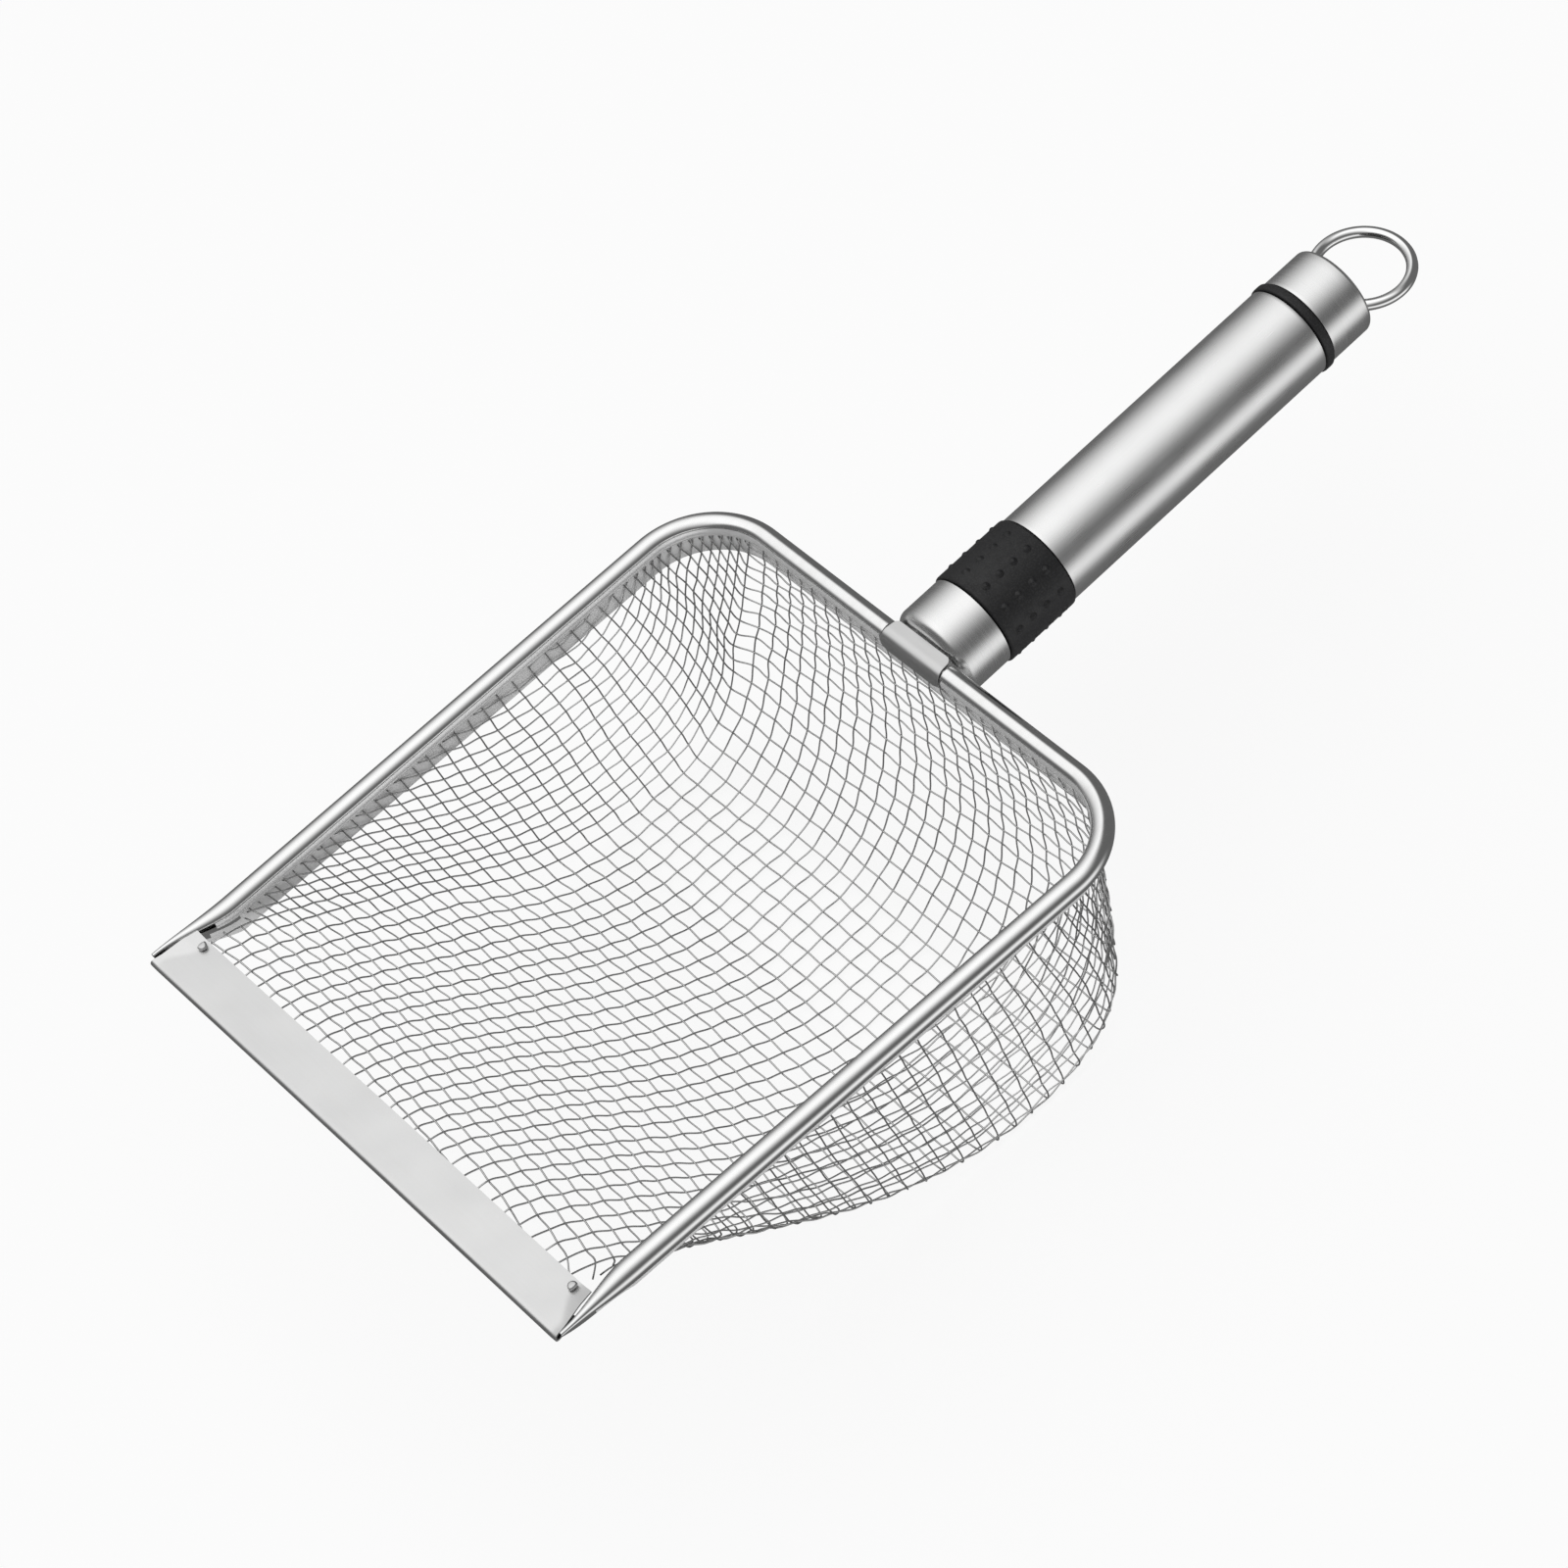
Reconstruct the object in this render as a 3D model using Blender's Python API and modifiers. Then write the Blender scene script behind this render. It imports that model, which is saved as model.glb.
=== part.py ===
"""Soil sieve: a deep square basket of woven wire in a rolled steel rim, with a blade along its front
edge, a round steel handle and a wire ring to hang it by.

Lengths are in millimetres until MM turns them into metres. The sieve frame has x to the right, y from
the front tips of the rim towards the handle, and z up from the plane of the rim's bead. The handle
frame has z along the handle. The world's origin is under the middle of the sieve, at the height of the
basket's base.
"""
import bmesh
import bpy
from math import acos, atan2, cos, degrees, pi, radians, sin, sqrt, tan
from mathutils import Vector

MM = 0.001
OBJECT_NAME = "soil_sieve"

# Rim: a strip of sheet rolled into a bead, with a skirt hanging from the bead's inner side.
REAR_Y = 167.6              # front tips to the bead's axis at the back
FRONT_HALF = 67.46          # half the distance between the bead's axes, at the front tips
REAR_HALF = 70.35           # and at the back
CORNER_R = 19.8             # plan radius of the back corners, to the bead's axis
BEAD_OUTER_R = 2.7
RIM_SHEET = 0.5
ROLL_END = 506.6            # the bead runs round from the skirt's top to this angle; 90 is upwards
SKIRT_Q = -0.88             # the skirt's outer side, from the bead's axis outwards
SKIRT_DROP, SKIRT_SLOPE, SKIRT_RISE = 8.0, 0.43, 0.8
RIM_START_Y = 0.2
TAPER_END_Y = 21.0          # in front of this the bead narrows towards its tip, up and outwards
TIP_SHARE = 0.2             # size of the bead at its tip, against its full size
NOTCH_HALF = 9.6            # the bead is cut away over this half width at the middle of the back
NOTCH_FLOOR_Z = -2.2

# Clamp lips: two strips inside the bead that close it above the basket's edge.
LIP_START_Y, LIP_END_X = 15.0, NOTCH_HALF + 0.4
LIP_ANGLES = (153.5, 222.0)

# Basket, to the middle of its shell.
MESH_Q = -2.03              # its wall, from the bead's axis outwards
MESH_EDGE_Z = -2.6
MESH_THICKNESS = 0.7
MESH_FRONT_Y, MESH_FRONT_HALF, MESH_FRONT_Z = 5.9, 63.5, 0.75
DRAW_DEPTH = 74.5           # depth that the basket's curve aims for
BASE_DEPTH = 73.5           # depth at which its base is flattened
DEEPEST_Y = 126.0
RAMP_START_Y = 11.2
RAMP_POWER = 1.44
REAR_POWER = 2.6
FOLD_R, WALL_LEAN = 4.8, 1.0  # fold between wall and floor, and how far the wall leans in

# Blade: one sheet with a hem folded under its front edge.
BLADE_FRONT_Y = -1.0
BLADE_HALF = 68.95          # at y = 0
BLADE_NARROWING = 0.268     # loss of half width for each millimetre back
BLADE_INNER_Y = 11.0
BLADE_TOP_Z = 1.95
BLADE_SHEET = 0.45
HEM_R = 0.75                # fold, to the middle of the sheet
HEM_END_Y = 5.4

# Strip under the blade that holds the front edge of the wires, and the tabs at the blade's corners.
STRIP_HALF, STRIP_Y, STRIP_Z = 62.2, (5.9, 10.6), (-0.37, 0.1)
TAB_X, TAB_Y, TAB_Z = (61.3, 64.0), (7.9, 10.6), (2.27, 2.85)

# Saddle: a tongue of sheet over the notch, level at the top, that the handle is welded to.
SADDLE_HALF, SADDLE_BACK_HALF, SADDLE_TIP_HALF = 9.3, 8.7, 7.6
SADDLE_SHEET, SADDLE_BEND = 0.8, 2.4
SADDLE_TOP_Z, SADDLE_FOOT_Z = 2.6, -2.1
SADDLE_LEG_Y, SADDLE_TIP_Y = REAR_Y - 2.6, REAR_Y + 2.6

# Handle, along its own axis from the plane of the rear bead.
HANDLE_TILT = radians(2.82)
HANDLE_Z = -5.0
TUBE_R, TUBE_WALL = 11.95, 0.6
FERRULE_FRONT, FERRULE_REAR = 3.4, 16.2
COLLAR_FRONT, COLLAR_REAR, COLLAR_R = 16.5, 36.6, 12.45
BUMP_ROWS, BUMPS_PER_ROW, BUMP_PITCH = 12, 4, 4.3
BUMP_R, BUMP_SINK = 1.0, 0.4
TUBE_FRONT, TUBE_REAR = 36.9, 118.5
SEAL_FRONT, SEAL_REAR, SEAL_R = 118.8, 121.1, 12.35
CAP_FRONT, CAP_REAR, CAP_R, CAP_WALL = 121.4, 134.0, 11.8, 0.8
ROD_R, BORE_R = 2.0, 2.4

# Inside the handle: two bushes hold the tubes in line on the tie rod.
FRONT_BUSH_FRONT, FRONT_BUSH_REAR = 7.2, 46.0
REAR_BUSH_FRONT, REAR_BUSH_REAR = 108.0, 121.3
BUSH_WEB, BUSH_INNER_R, BUSH_GAP = 5.0, 8.6, 0.35
SOCKET_R = 10.7             # inside radius of the collar, and of the ferrule behind its front wall
ROD_FRONT, ROD_REAR, ROD_HEAD_R, ROD_HEAD_END = 4.6, 125.8, 5.0, 6.5
WASHER_R, WASHER_FRONT, WASHER_REAR = 6.0, 121.6, 122.4
NUT_FRONT, NUT_REAR, NUT_ACROSS_FLATS = 122.7, 125.3, 7.0
PLUG_FRONT, PLUG_REAR = 126.1, 129.0

# Hanging ring. It swings in an eye on the plug inside the end cap.
RING_PIVOT = 131.6
RING_R = 11.5
RING_WIRE_R = 1.4
RING_DROOP = radians(-6.0)
EYE_BORE_R, EYE_R, EYE_HALF = 2.1, 3.1, 2.4

PIVOT_Y = REAR_Y + RING_PIVOT * cos(HANDLE_TILT)
PIVOT_Z = HANDLE_Z + RING_PIVOT * sin(HANDLE_TILT)
RING_TILT = HANDLE_TILT + RING_DROOP
RING_END_Y = PIVOT_Y + RING_R * cos(RING_TILT) + RING_R + RING_WIRE_R
RIM_HEIGHT = BASE_DEPTH + MESH_THICKNESS / 2

STEEL = (0.62, 0.62, 0.61, 1.0)
SATIN = (0.70, 0.70, 0.69, 1.0)
CHROME = (0.80, 0.80, 0.80, 1.0)
RUBBER = (0.018, 0.018, 0.019, 1.0)
PLASTIC = (0.10, 0.10, 0.105, 1.0)


# ---------------------------------------------------------------- scene, materials and objects

def clear_scene():
    for old in list(bpy.data.objects):
        bpy.data.objects.remove(old, do_unlink=True)


def new_collection(name):
    group = bpy.data.collections.new(name)
    bpy.context.scene.collection.children.link(group)
    return group


def new_material(name, colour, roughness, metallic):
    mat = bpy.data.materials.new(name)
    mat.use_nodes = True
    shader = mat.node_tree.nodes["Principled BSDF"]
    shader.inputs["Base Color"].default_value = colour
    shader.inputs["Roughness"].default_value = roughness
    shader.inputs["Metallic"].default_value = metallic
    return mat


def new_object(name, data, group, parent=None, finish=None):
    piece = bpy.data.objects.new(name, data)
    group.objects.link(piece)
    piece.parent = parent
    if finish is not None:
        data.materials.append(new_material(name + "_finish", *finish))
    return piece


def mesh_from(name, points, faces, sharp_angle=35.0):
    """A mesh from points in millimetres, with its faces turned outwards."""
    mesh = bpy.data.meshes.new(name)
    mesh.from_pydata([Vector(point) * MM for point in points], [], faces)
    shell = bmesh.new()
    shell.from_mesh(mesh)
    bmesh.ops.recalc_face_normals(shell, faces=shell.faces)
    shell.to_mesh(mesh)
    shell.free()
    mesh.shade_smooth()
    mesh.set_sharp_from_angle(angle=radians(sharp_angle))
    return mesh


def loft(sections):
    """Points and faces of a bent sheet. Each section is (outer side, inner side), as equal lists."""
    side = len(sections[0][0])
    points = []
    for outer, inner in sections:
        points += outer + inner
    ring = 2 * side
    order = list(range(side)) + list(range(2 * side - 1, side - 1, -1))
    faces = []
    for row in range(len(sections) - 1):
        for place in range(ring):
            here, following = order[place], order[(place + 1) % ring]
            first, second = row * ring, (row + 1) * ring
            faces.append((first + here, first + following, second + following, second + here))
    for row in (0, len(sections) - 1):
        for place in range(side - 1):
            start = row * ring
            faces.append((start + place, start + place + 1, start + side + place + 1, start + side + place))
    return points, faces


def turned(name, outline, group, parent, finish, steps=48):
    """A piece turned about the handle's axis. Its outline (radius, place) runs down the outer side."""
    closed = min(radius for radius, place in outline) > 0.0
    mesh = bpy.data.meshes.new(name)
    points = [Vector((radius, 0.0, place)) * MM for radius, place in outline]
    edges = [(index, index + 1) for index in range(len(points) - 1)]
    if closed:
        edges.append((len(points) - 1, 0))
    mesh.from_pydata(points, edges, [])
    piece = new_object(name, mesh, group, parent, finish)
    screw = piece.modifiers.new("turn", 'SCREW')
    screw.steps = steps
    screw.render_steps = steps
    screw.use_merge_vertices = True
    screw.merge_threshold = 0.00001
    screw.use_smooth_shade = True
    return piece


def arc(centre_a, centre_b, radius, start, end, steps):
    """Points of an arc in a plane, with its angles in degrees."""
    angles = [radians(start + (end - start) * step / steps) for step in range(steps + 1)]
    return [(centre_a + radius * cos(angle), centre_b + radius * sin(angle)) for angle in angles]


def block(name, lowest, highest, group, parent, finish=None, bevel=0.0):
    """A box between two corners, with its edges rounded."""
    bpy.ops.mesh.primitive_cube_add(size=1.0)
    piece = bpy.context.object
    piece.name = piece.data.name = name
    size = Vector(highest) - Vector(lowest)
    middle = (Vector(highest) + Vector(lowest)) / 2
    for vertex in piece.data.vertices:
        vertex.co = Vector(a * b for a, b in zip(vertex.co, size)) * MM + middle * MM
    for owner in list(piece.users_collection):
        owner.objects.unlink(piece)
    group.objects.link(piece)
    piece.parent = parent
    if finish is not None:
        piece.data.materials.append(new_material(name + "_finish", *finish))
    if bevel > 0.0:
        edge = piece.modifiers.new("edge", 'BEVEL')
        edge.width = bevel * MM
        edge.segments = 2
    return piece


def cylinder(name, radius, length, centre, group, parent, along_x=False, sides=32, finish=None):
    """A cylinder along z or x, centred on a point."""
    bpy.ops.mesh.primitive_cylinder_add(vertices=sides, radius=radius * MM, depth=length * MM)
    piece = bpy.context.object
    piece.name = piece.data.name = name
    for owner in list(piece.users_collection):
        owner.objects.unlink(piece)
    group.objects.link(piece)
    piece.parent = parent
    piece.location = Vector(centre) * MM
    if along_x:
        piece.rotation_euler = (0.0, pi / 2, 0.0)
    if finish is not None:
        piece.data.materials.append(new_material(name + "_finish", *finish))
    return piece


def combine(piece, tool, operation):
    """Adds a Boolean modifier. The tool stays in the scene as a hidden wire shape."""
    cut = piece.modifiers.new(tool.name, 'BOOLEAN')
    cut.operation = operation
    cut.solver = 'EXACT'
    cut.object = tool
    tool.hide_render = True
    tool.display_type = 'WIRE'


# ---------------------------------------------------------------- the rim's path

def axis_half(y):
    """Half the distance between the bead's axes at y, before the corners."""
    return FRONT_HALF + (REAR_HALF - FRONT_HALF) * y / REAR_Y


def corner():
    """The back right corner: its centre, and its angles where it meets the side and the back."""
    lean = atan2(REAR_HALF - FRONT_HALF, REAR_Y)
    reach = CORNER_R * tan((pi / 2 + lean) / 2)
    return REAR_HALF - reach, REAR_Y - CORNER_R, -lean, pi / 2


def right_half(start_y):
    """Stations (x, y, outward x, outward y) along the bead's axis, from the front to the back's middle."""
    centre_x, centre_y, first, last = corner()
    end_y = centre_y + CORNER_R * sin(first)
    near = [start_y + (TAPER_END_Y - start_y) * step / 8 for step in range(8)]
    far = [TAPER_END_Y + (end_y - TAPER_END_Y) * step / 6 for step in range(6)]
    stations = [(axis_half(y), y, cos(first), sin(first)) for y in near + far]
    for step in range(9):
        angle = first + (last - first) * step / 8
        stations.append((centre_x + CORNER_R * cos(angle), centre_y + CORNER_R * sin(angle),
                         cos(angle), sin(angle)))
    return stations


def mirrored(stations):
    return [(-x, y, -out_x, out_y) for x, y, out_x, out_y in stations]


def whole_path():
    """Stations from the left front tip round the back to the right front tip."""
    right = right_half(RIM_START_Y)
    right += [(right[-1][0] / 2, REAR_Y, 0.0, 1.0)]
    return mirrored(right) + [(0.0, REAR_Y, 0.0, 1.0)] + right[::-1]


def placed(station, profile):
    """Puts a profile of (outward distance, z) points at a station of the path."""
    x, y, out_x, out_y = station
    return [(x + out * out_x, y + out * out_y, z) for out, z in profile]


def bead_share(y):
    """Size of the bead at y, against its full size. It narrows towards its tip at the front."""
    share = min(1.0, y / TAPER_END_Y)
    return TIP_SHARE + (1.0 - TIP_SHARE) * share * share * (3.0 - 2.0 * share)


def rim_profile(y):
    """The rolled sheet's two sides at y: up the skirt, then round the bead by its underside."""
    share = bead_share(y)
    centre = BEAD_OUTER_R * (1.0 - share)
    foot_z = -min(SKIRT_DROP, SKIRT_SLOPE * y - SKIRT_RISE)
    sides = []
    for radius, reach in ((BEAD_OUTER_R, SKIRT_Q), (BEAD_OUTER_R - RIM_SHEET, SKIRT_Q - RIM_SHEET)):
        start = 180.0 + degrees(acos(-reach / radius))
        sides.append([(centre + reach * share, foot_z)]
                     + arc(centre, centre, radius * share, start, ROLL_END, 15))
    return sides


# ---------------------------------------------------------------- the scoop

def build_rim(group, cutters, frame):
    sections = []
    for station in whole_path():
        outer, inner = rim_profile(station[1])
        sections.append((placed(station, outer), placed(station, inner)))
    rim = new_object("rolled_rim", mesh_from("rolled_rim", *loft(sections)), group, frame,
                     (STEEL, 0.22, 1.0))
    notch = block("rim_notch", (-NOTCH_HALF, REAR_Y - 5.0, NOTCH_FLOOR_Z),
                  (NOTCH_HALF, REAR_Y + 5.0, 5.0), cutters, frame)
    combine(rim, notch, 'DIFFERENCE')


def build_clamp_lips(group, frame):
    start, end = LIP_ANGLES
    right = right_half(LIP_START_Y) + [(LIP_END_X, REAR_Y, 0.0, 1.0)]
    for name, stations in (("clamp_lip_left", mirrored(right)), ("clamp_lip_right", right)):
        sections = []
        for station in stations:
            share = bead_share(station[1])
            centre = BEAD_OUTER_R * (1.0 - share)
            outer = arc(centre, centre, BEAD_OUTER_R * share, start, end, 5)
            inner = arc(centre, centre, (BEAD_OUTER_R - RIM_SHEET) * share, start, end, 5)
            sections.append((placed(station, outer), placed(station, inner)))
        new_object(name, mesh_from(name, *loft(sections)), group, frame, (CHROME, 0.2, 1.0))


def basket_floor(y):
    """Height of the basket's middle line at y: level under the blade, down the ramp, up the back."""
    if y < DEEPEST_Y:
        share = max(0.0, (y - RAMP_START_Y) / (DEEPEST_Y - RAMP_START_Y))
        drop = share ** RAMP_POWER * (1.0 + RAMP_POWER * (1.0 - share))
        return MESH_FRONT_Z - (DRAW_DEPTH + MESH_FRONT_Z) * drop
    share = min(1.0, (y - DEEPEST_Y) / (REAR_Y + MESH_Q - DEEPEST_Y))
    return MESH_EDGE_Z - (DRAW_DEPTH + MESH_EDGE_Z) * (1.0 - share ** REAR_POWER) ** (1.0 / REAR_POWER)


def basket_edge(y):
    """Half width and height of the basket's edge at y. The edge dives under the bead near the front."""
    near_half, far_half = MESH_FRONT_HALF + 0.3, axis_half(22.5) + MESH_Q
    if y < 15.0:
        return MESH_FRONT_HALF, MESH_FRONT_Z
    if y < 19.0:
        share = (y - 15.0) / 4.0
        return (MESH_FRONT_HALF + (near_half - MESH_FRONT_HALF) * share,
                MESH_FRONT_Z + (MESH_EDGE_Z - MESH_FRONT_Z) * share)
    if y < 22.5:
        return near_half + (far_half - near_half) * (y - 19.0) / 3.5, MESH_EDGE_Z
    centre_x, centre_y, first, last = corner()
    if y < centre_y + CORNER_R * sin(first):
        return axis_half(y) + MESH_Q, MESH_EDGE_Z
    inner_r = CORNER_R + MESH_Q
    return centre_x + sqrt(max(0.0, inner_r ** 2 - (y - centre_y) ** 2)), MESH_EDGE_Z


def basket_point(y, place):
    """A point of the basket's middle surface. Place runs from -1 to 1 between the edges: a wall for its
    outer quarters, then a fold, and the floor for its inner half."""
    half, edge_z = basket_edge(y)
    depth = edge_z - basket_floor(y)
    fold = FOLD_R / (FOLD_R + abs(depth))
    foot = half - WALL_LEAN
    reach = abs(place)
    if reach > 0.75:
        down = (1.0 - reach) / 0.25
        x, z = half - WALL_LEAN * down, edge_z - depth * (1.0 - fold) * down
    elif reach > 0.5:
        angle = radians(90.0) * (0.75 - reach) / 0.25
        x, z = foot - FOLD_R * (1.0 - cos(angle)), edge_z - depth * (1.0 - fold + fold * sin(angle))
    else:
        x, z = (foot - FOLD_R) * reach / 0.5, edge_z - depth
    return (x if place > 0.0 else -x), y, max(z, -BASE_DEPTH)


def build_basket(group, frame):
    rows = [MESH_FRONT_Y, 9.0, RAMP_START_Y, 13.0, 15.0, 17.0, 19.0, 20.7, 22.5]
    rows += [22.5 + (DEEPEST_Y - 22.5) * step / 12 for step in range(1, 13)]
    reach = REAR_Y + MESH_Q - DEEPEST_Y
    rows += [DEEPEST_Y + reach * sin(radians(90.0) * step / 10) for step in range(1, 11)]
    right = [0.125, 0.25, 0.375, 0.5, 0.56, 0.62, 0.685, 0.75, 0.8, 0.85, 0.9, 0.95, 1.0]
    places = [-place for place in reversed(right)] + [0.0] + right
    count = len(places)
    points = [basket_point(y, place) for y in rows for place in places]
    faces = []
    for row in range(len(rows) - 1):
        for place in range(count - 1):
            first = row * count + place
            faces.append((first, first + 1, first + count + 1, first + count))
    basket = new_object("mesh_basket", mesh_from("mesh_basket", points, faces), group, frame,
                        (SATIN, 0.35, 1.0))
    wall = basket.modifiers.new("wall", 'SOLIDIFY')
    wall.thickness = MESH_THICKNESS * MM
    wall.offset = 0.0


def blade_half(y):
    return BLADE_HALF - BLADE_NARROWING * y


def build_blade(group, frame):
    upper = BLADE_TOP_Z - BLADE_SHEET / 2
    fold_y = BLADE_FRONT_Y + HEM_R + BLADE_SHEET / 2
    fold_z = upper - HEM_R
    sides = []
    for offset in (BLADE_SHEET / 2, -BLADE_SHEET / 2):
        radius = HEM_R + offset
        line = [(BLADE_INNER_Y, fold_z + radius), (HEM_END_Y, fold_z + radius)]
        line += arc(fold_y, fold_z, radius, 90.0, 270.0, 8)
        line.append((HEM_END_Y, fold_z - radius))
        sides.append(line)
    sections = []
    for way in (-1.0, 1.0):
        sections.append(tuple([(way * blade_half(y), y, z) for y, z in line] for line in sides))
    new_object("front_blade", mesh_from("front_blade", *loft(sections)), group, frame, (SATIN, 0.38, 1.0))


def build_blade_fittings(group, frame):
    block("blade_backing_strip", (-STRIP_HALF, STRIP_Y[0], STRIP_Z[0]), (STRIP_HALF, STRIP_Y[1], STRIP_Z[1]),
          group, frame, (SATIN, 0.4, 1.0), 0.12)
    for name, way in (("corner_tab_left", -1.0), ("corner_tab_right", 1.0)):
        low_x, high_x = sorted((way * TAB_X[0], way * TAB_X[1]))
        block(name, (low_x, TAB_Y[0], TAB_Z[0]), (high_x, TAB_Y[1], TAB_Z[1]), group, frame,
              (STEEL, 0.3, 1.0), 0.15)


def build_saddle(group, frame):
    """The tongue over the notch: a leg on the basket's side, and a flat land back to the handle."""
    outlines = []
    for offset in (SADDLE_SHEET / 2, -SADDLE_SHEET / 2):
        line = [(SADDLE_LEG_Y - offset, SADDLE_FOOT_Z)]
        line += arc(SADDLE_LEG_Y + SADDLE_BEND, SADDLE_TOP_Z - SADDLE_BEND, SADDLE_BEND + offset,
                    180.0, 90.0, 6)
        line += [(SADDLE_TIP_Y - 1.1, SADDLE_TOP_Z + offset), (SADDLE_TIP_Y, SADDLE_TOP_Z + offset)]
        outlines.append(line)
    widths = [SADDLE_HALF] * 8 + [SADDLE_BACK_HALF, SADDLE_TIP_HALF]
    sections = []
    for way in (-1.0, 1.0):
        sections.append(tuple([(way * width, y, z) for (y, z), width in zip(line, widths)]
                              for line in outlines))
    new_object("rim_saddle", mesh_from("rim_saddle", *loft(sections)), group, frame, (SATIN, 0.35, 1.0))


# ---------------------------------------------------------------- the handle

def build_ferrule(group, handle):
    inside = TUBE_R - CAP_WALL
    fillet = 2.6
    floor = FERRULE_FRONT + CAP_WALL
    outline = [(0.0, floor), (SOCKET_R - 1.7, floor), (SOCKET_R, floor + 0.9),
               (inside, floor + 2.4), (inside, FERRULE_REAR), (TUBE_R, FERRULE_REAR)]
    outline += arc(TUBE_R - fillet, FERRULE_FRONT + fillet, fillet, 0.0, -90.0, 6)
    outline.append((0.0, FERRULE_FRONT))
    turned("ferrule", outline, group, handle, (SATIN, 0.3, 1.0))


def build_bushes(group, handle):
    in_tube = TUBE_R - TUBE_WALL - BUSH_GAP
    in_ferrule = TUBE_R - CAP_WALL - BUSH_GAP
    in_collar = SOCKET_R - 0.3
    web_end = FRONT_BUSH_FRONT + BUSH_WEB
    front = [(in_tube, FRONT_BUSH_REAR), (in_tube, TUBE_FRONT + 0.3), (in_collar, TUBE_FRONT + 0.3),
             (in_collar, FERRULE_REAR), (in_ferrule, FERRULE_REAR), (in_ferrule, FRONT_BUSH_FRONT),
             (BORE_R, FRONT_BUSH_FRONT), (BORE_R, web_end), (BUSH_INNER_R, web_end),
             (BUSH_INNER_R, FRONT_BUSH_REAR)]
    turned("front_bush", front, group, handle, (PLASTIC, 0.5, 0.0), 32)
    in_seal = BUSH_INNER_R + 0.7
    shoulder = TUBE_REAR - 0.2
    web_start = REAR_BUSH_REAR - 1.5 * BUSH_WEB
    rear = [(in_seal, REAR_BUSH_REAR), (in_seal, shoulder), (in_tube, shoulder), (in_tube, REAR_BUSH_FRONT),
            (BUSH_INNER_R, REAR_BUSH_FRONT), (BUSH_INNER_R, web_start), (BORE_R, web_start),
            (BORE_R, REAR_BUSH_REAR)]
    turned("rear_bush", rear, group, handle, (PLASTIC, 0.5, 0.0), 32)


def build_collar(group, cutters, handle):
    edge = 0.4
    outline = [(COLLAR_R - edge, COLLAR_REAR), (COLLAR_R, COLLAR_REAR - edge),
               (COLLAR_R, COLLAR_FRONT + edge), (COLLAR_R - edge, COLLAR_FRONT),
               (SOCKET_R, COLLAR_FRONT), (SOCKET_R, COLLAR_REAR)]
    collar = turned("grip_collar", outline, group, handle, (RUBBER, 0.6, 0.0))
    domes = bmesh.new()
    first = (COLLAR_FRONT + COLLAR_REAR - BUMP_PITCH * (BUMPS_PER_ROW - 1)) / 2
    for row in range(BUMP_ROWS):
        angle = 2.0 * pi * (row + 0.5) / BUMP_ROWS
        for place in range(BUMPS_PER_ROW):
            reach = COLLAR_R - BUMP_SINK
            centre = Vector((reach * cos(angle), reach * sin(angle), first + BUMP_PITCH * place)) * MM
            made = bmesh.ops.create_icosphere(domes, subdivisions=1, radius=BUMP_R * MM)
            bmesh.ops.translate(domes, vec=centre, verts=made["verts"])
    mesh = bpy.data.meshes.new("collar_domes")
    domes.to_mesh(mesh)
    domes.free()
    tool = new_object("collar_domes", mesh, cutters, handle)
    combine(collar, tool, 'UNION')


def build_tube_and_rings(group, handle):
    inside = TUBE_R - TUBE_WALL
    turned("handle_tube", [(TUBE_R, TUBE_REAR), (TUBE_R, TUBE_FRONT), (inside, TUBE_FRONT),
                           (inside, TUBE_REAR)], group, handle, (STEEL, 0.3, 1.0))
    edge = 0.35
    seal_inner = BUSH_INNER_R + 1.0
    turned("seal_ring", [(SEAL_R - edge, SEAL_REAR), (SEAL_R, SEAL_REAR - edge),
                         (SEAL_R, SEAL_FRONT + edge), (SEAL_R - edge, SEAL_FRONT),
                         (seal_inner, SEAL_FRONT), (seal_inner, SEAL_REAR)],
           group, handle, (RUBBER, 0.5, 0.0))
    fillet = 1.1
    lip_r = CAP_R - fillet - 0.1
    cap = [(lip_r, CAP_REAR)] + arc(CAP_R - fillet, CAP_REAR - fillet, fillet, 90.0, 0.0, 4)
    cap += [(CAP_R, CAP_FRONT), (CAP_R - CAP_WALL, CAP_FRONT), (CAP_R - CAP_WALL, CAP_REAR - 1.5),
            (lip_r, CAP_REAR - 1.0)]
    turned("end_cap", cap, group, handle, (SATIN, 0.28, 1.0))


def build_tie_rod(group, cutters, handle):
    turned("tie_rod", [(0.0, ROD_REAR), (ROD_R, ROD_REAR), (ROD_R, ROD_HEAD_END),
                       (ROD_HEAD_R, ROD_HEAD_END), (ROD_HEAD_R, ROD_FRONT), (0.0, ROD_FRONT)],
           group, handle, (STEEL, 0.35, 1.0), 24)
    turned("tie_washer", [(WASHER_R, WASHER_REAR), (WASHER_R, WASHER_FRONT), (BORE_R, WASHER_FRONT),
                          (BORE_R, WASHER_REAR)], group, handle, (STEEL, 0.3, 1.0), 32)
    middle = (0.0, 0.0, (NUT_FRONT + NUT_REAR) / 2)
    nut = cylinder("tie_nut", NUT_ACROSS_FLATS / sqrt(3.0), NUT_REAR - NUT_FRONT, middle, group, handle,
                   sides=6, finish=(STEEL, 0.3, 1.0))
    bore = cylinder("nut_bore", BORE_R, 6.0, middle, cutters, handle)
    combine(nut, bore, 'DIFFERENCE')


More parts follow.
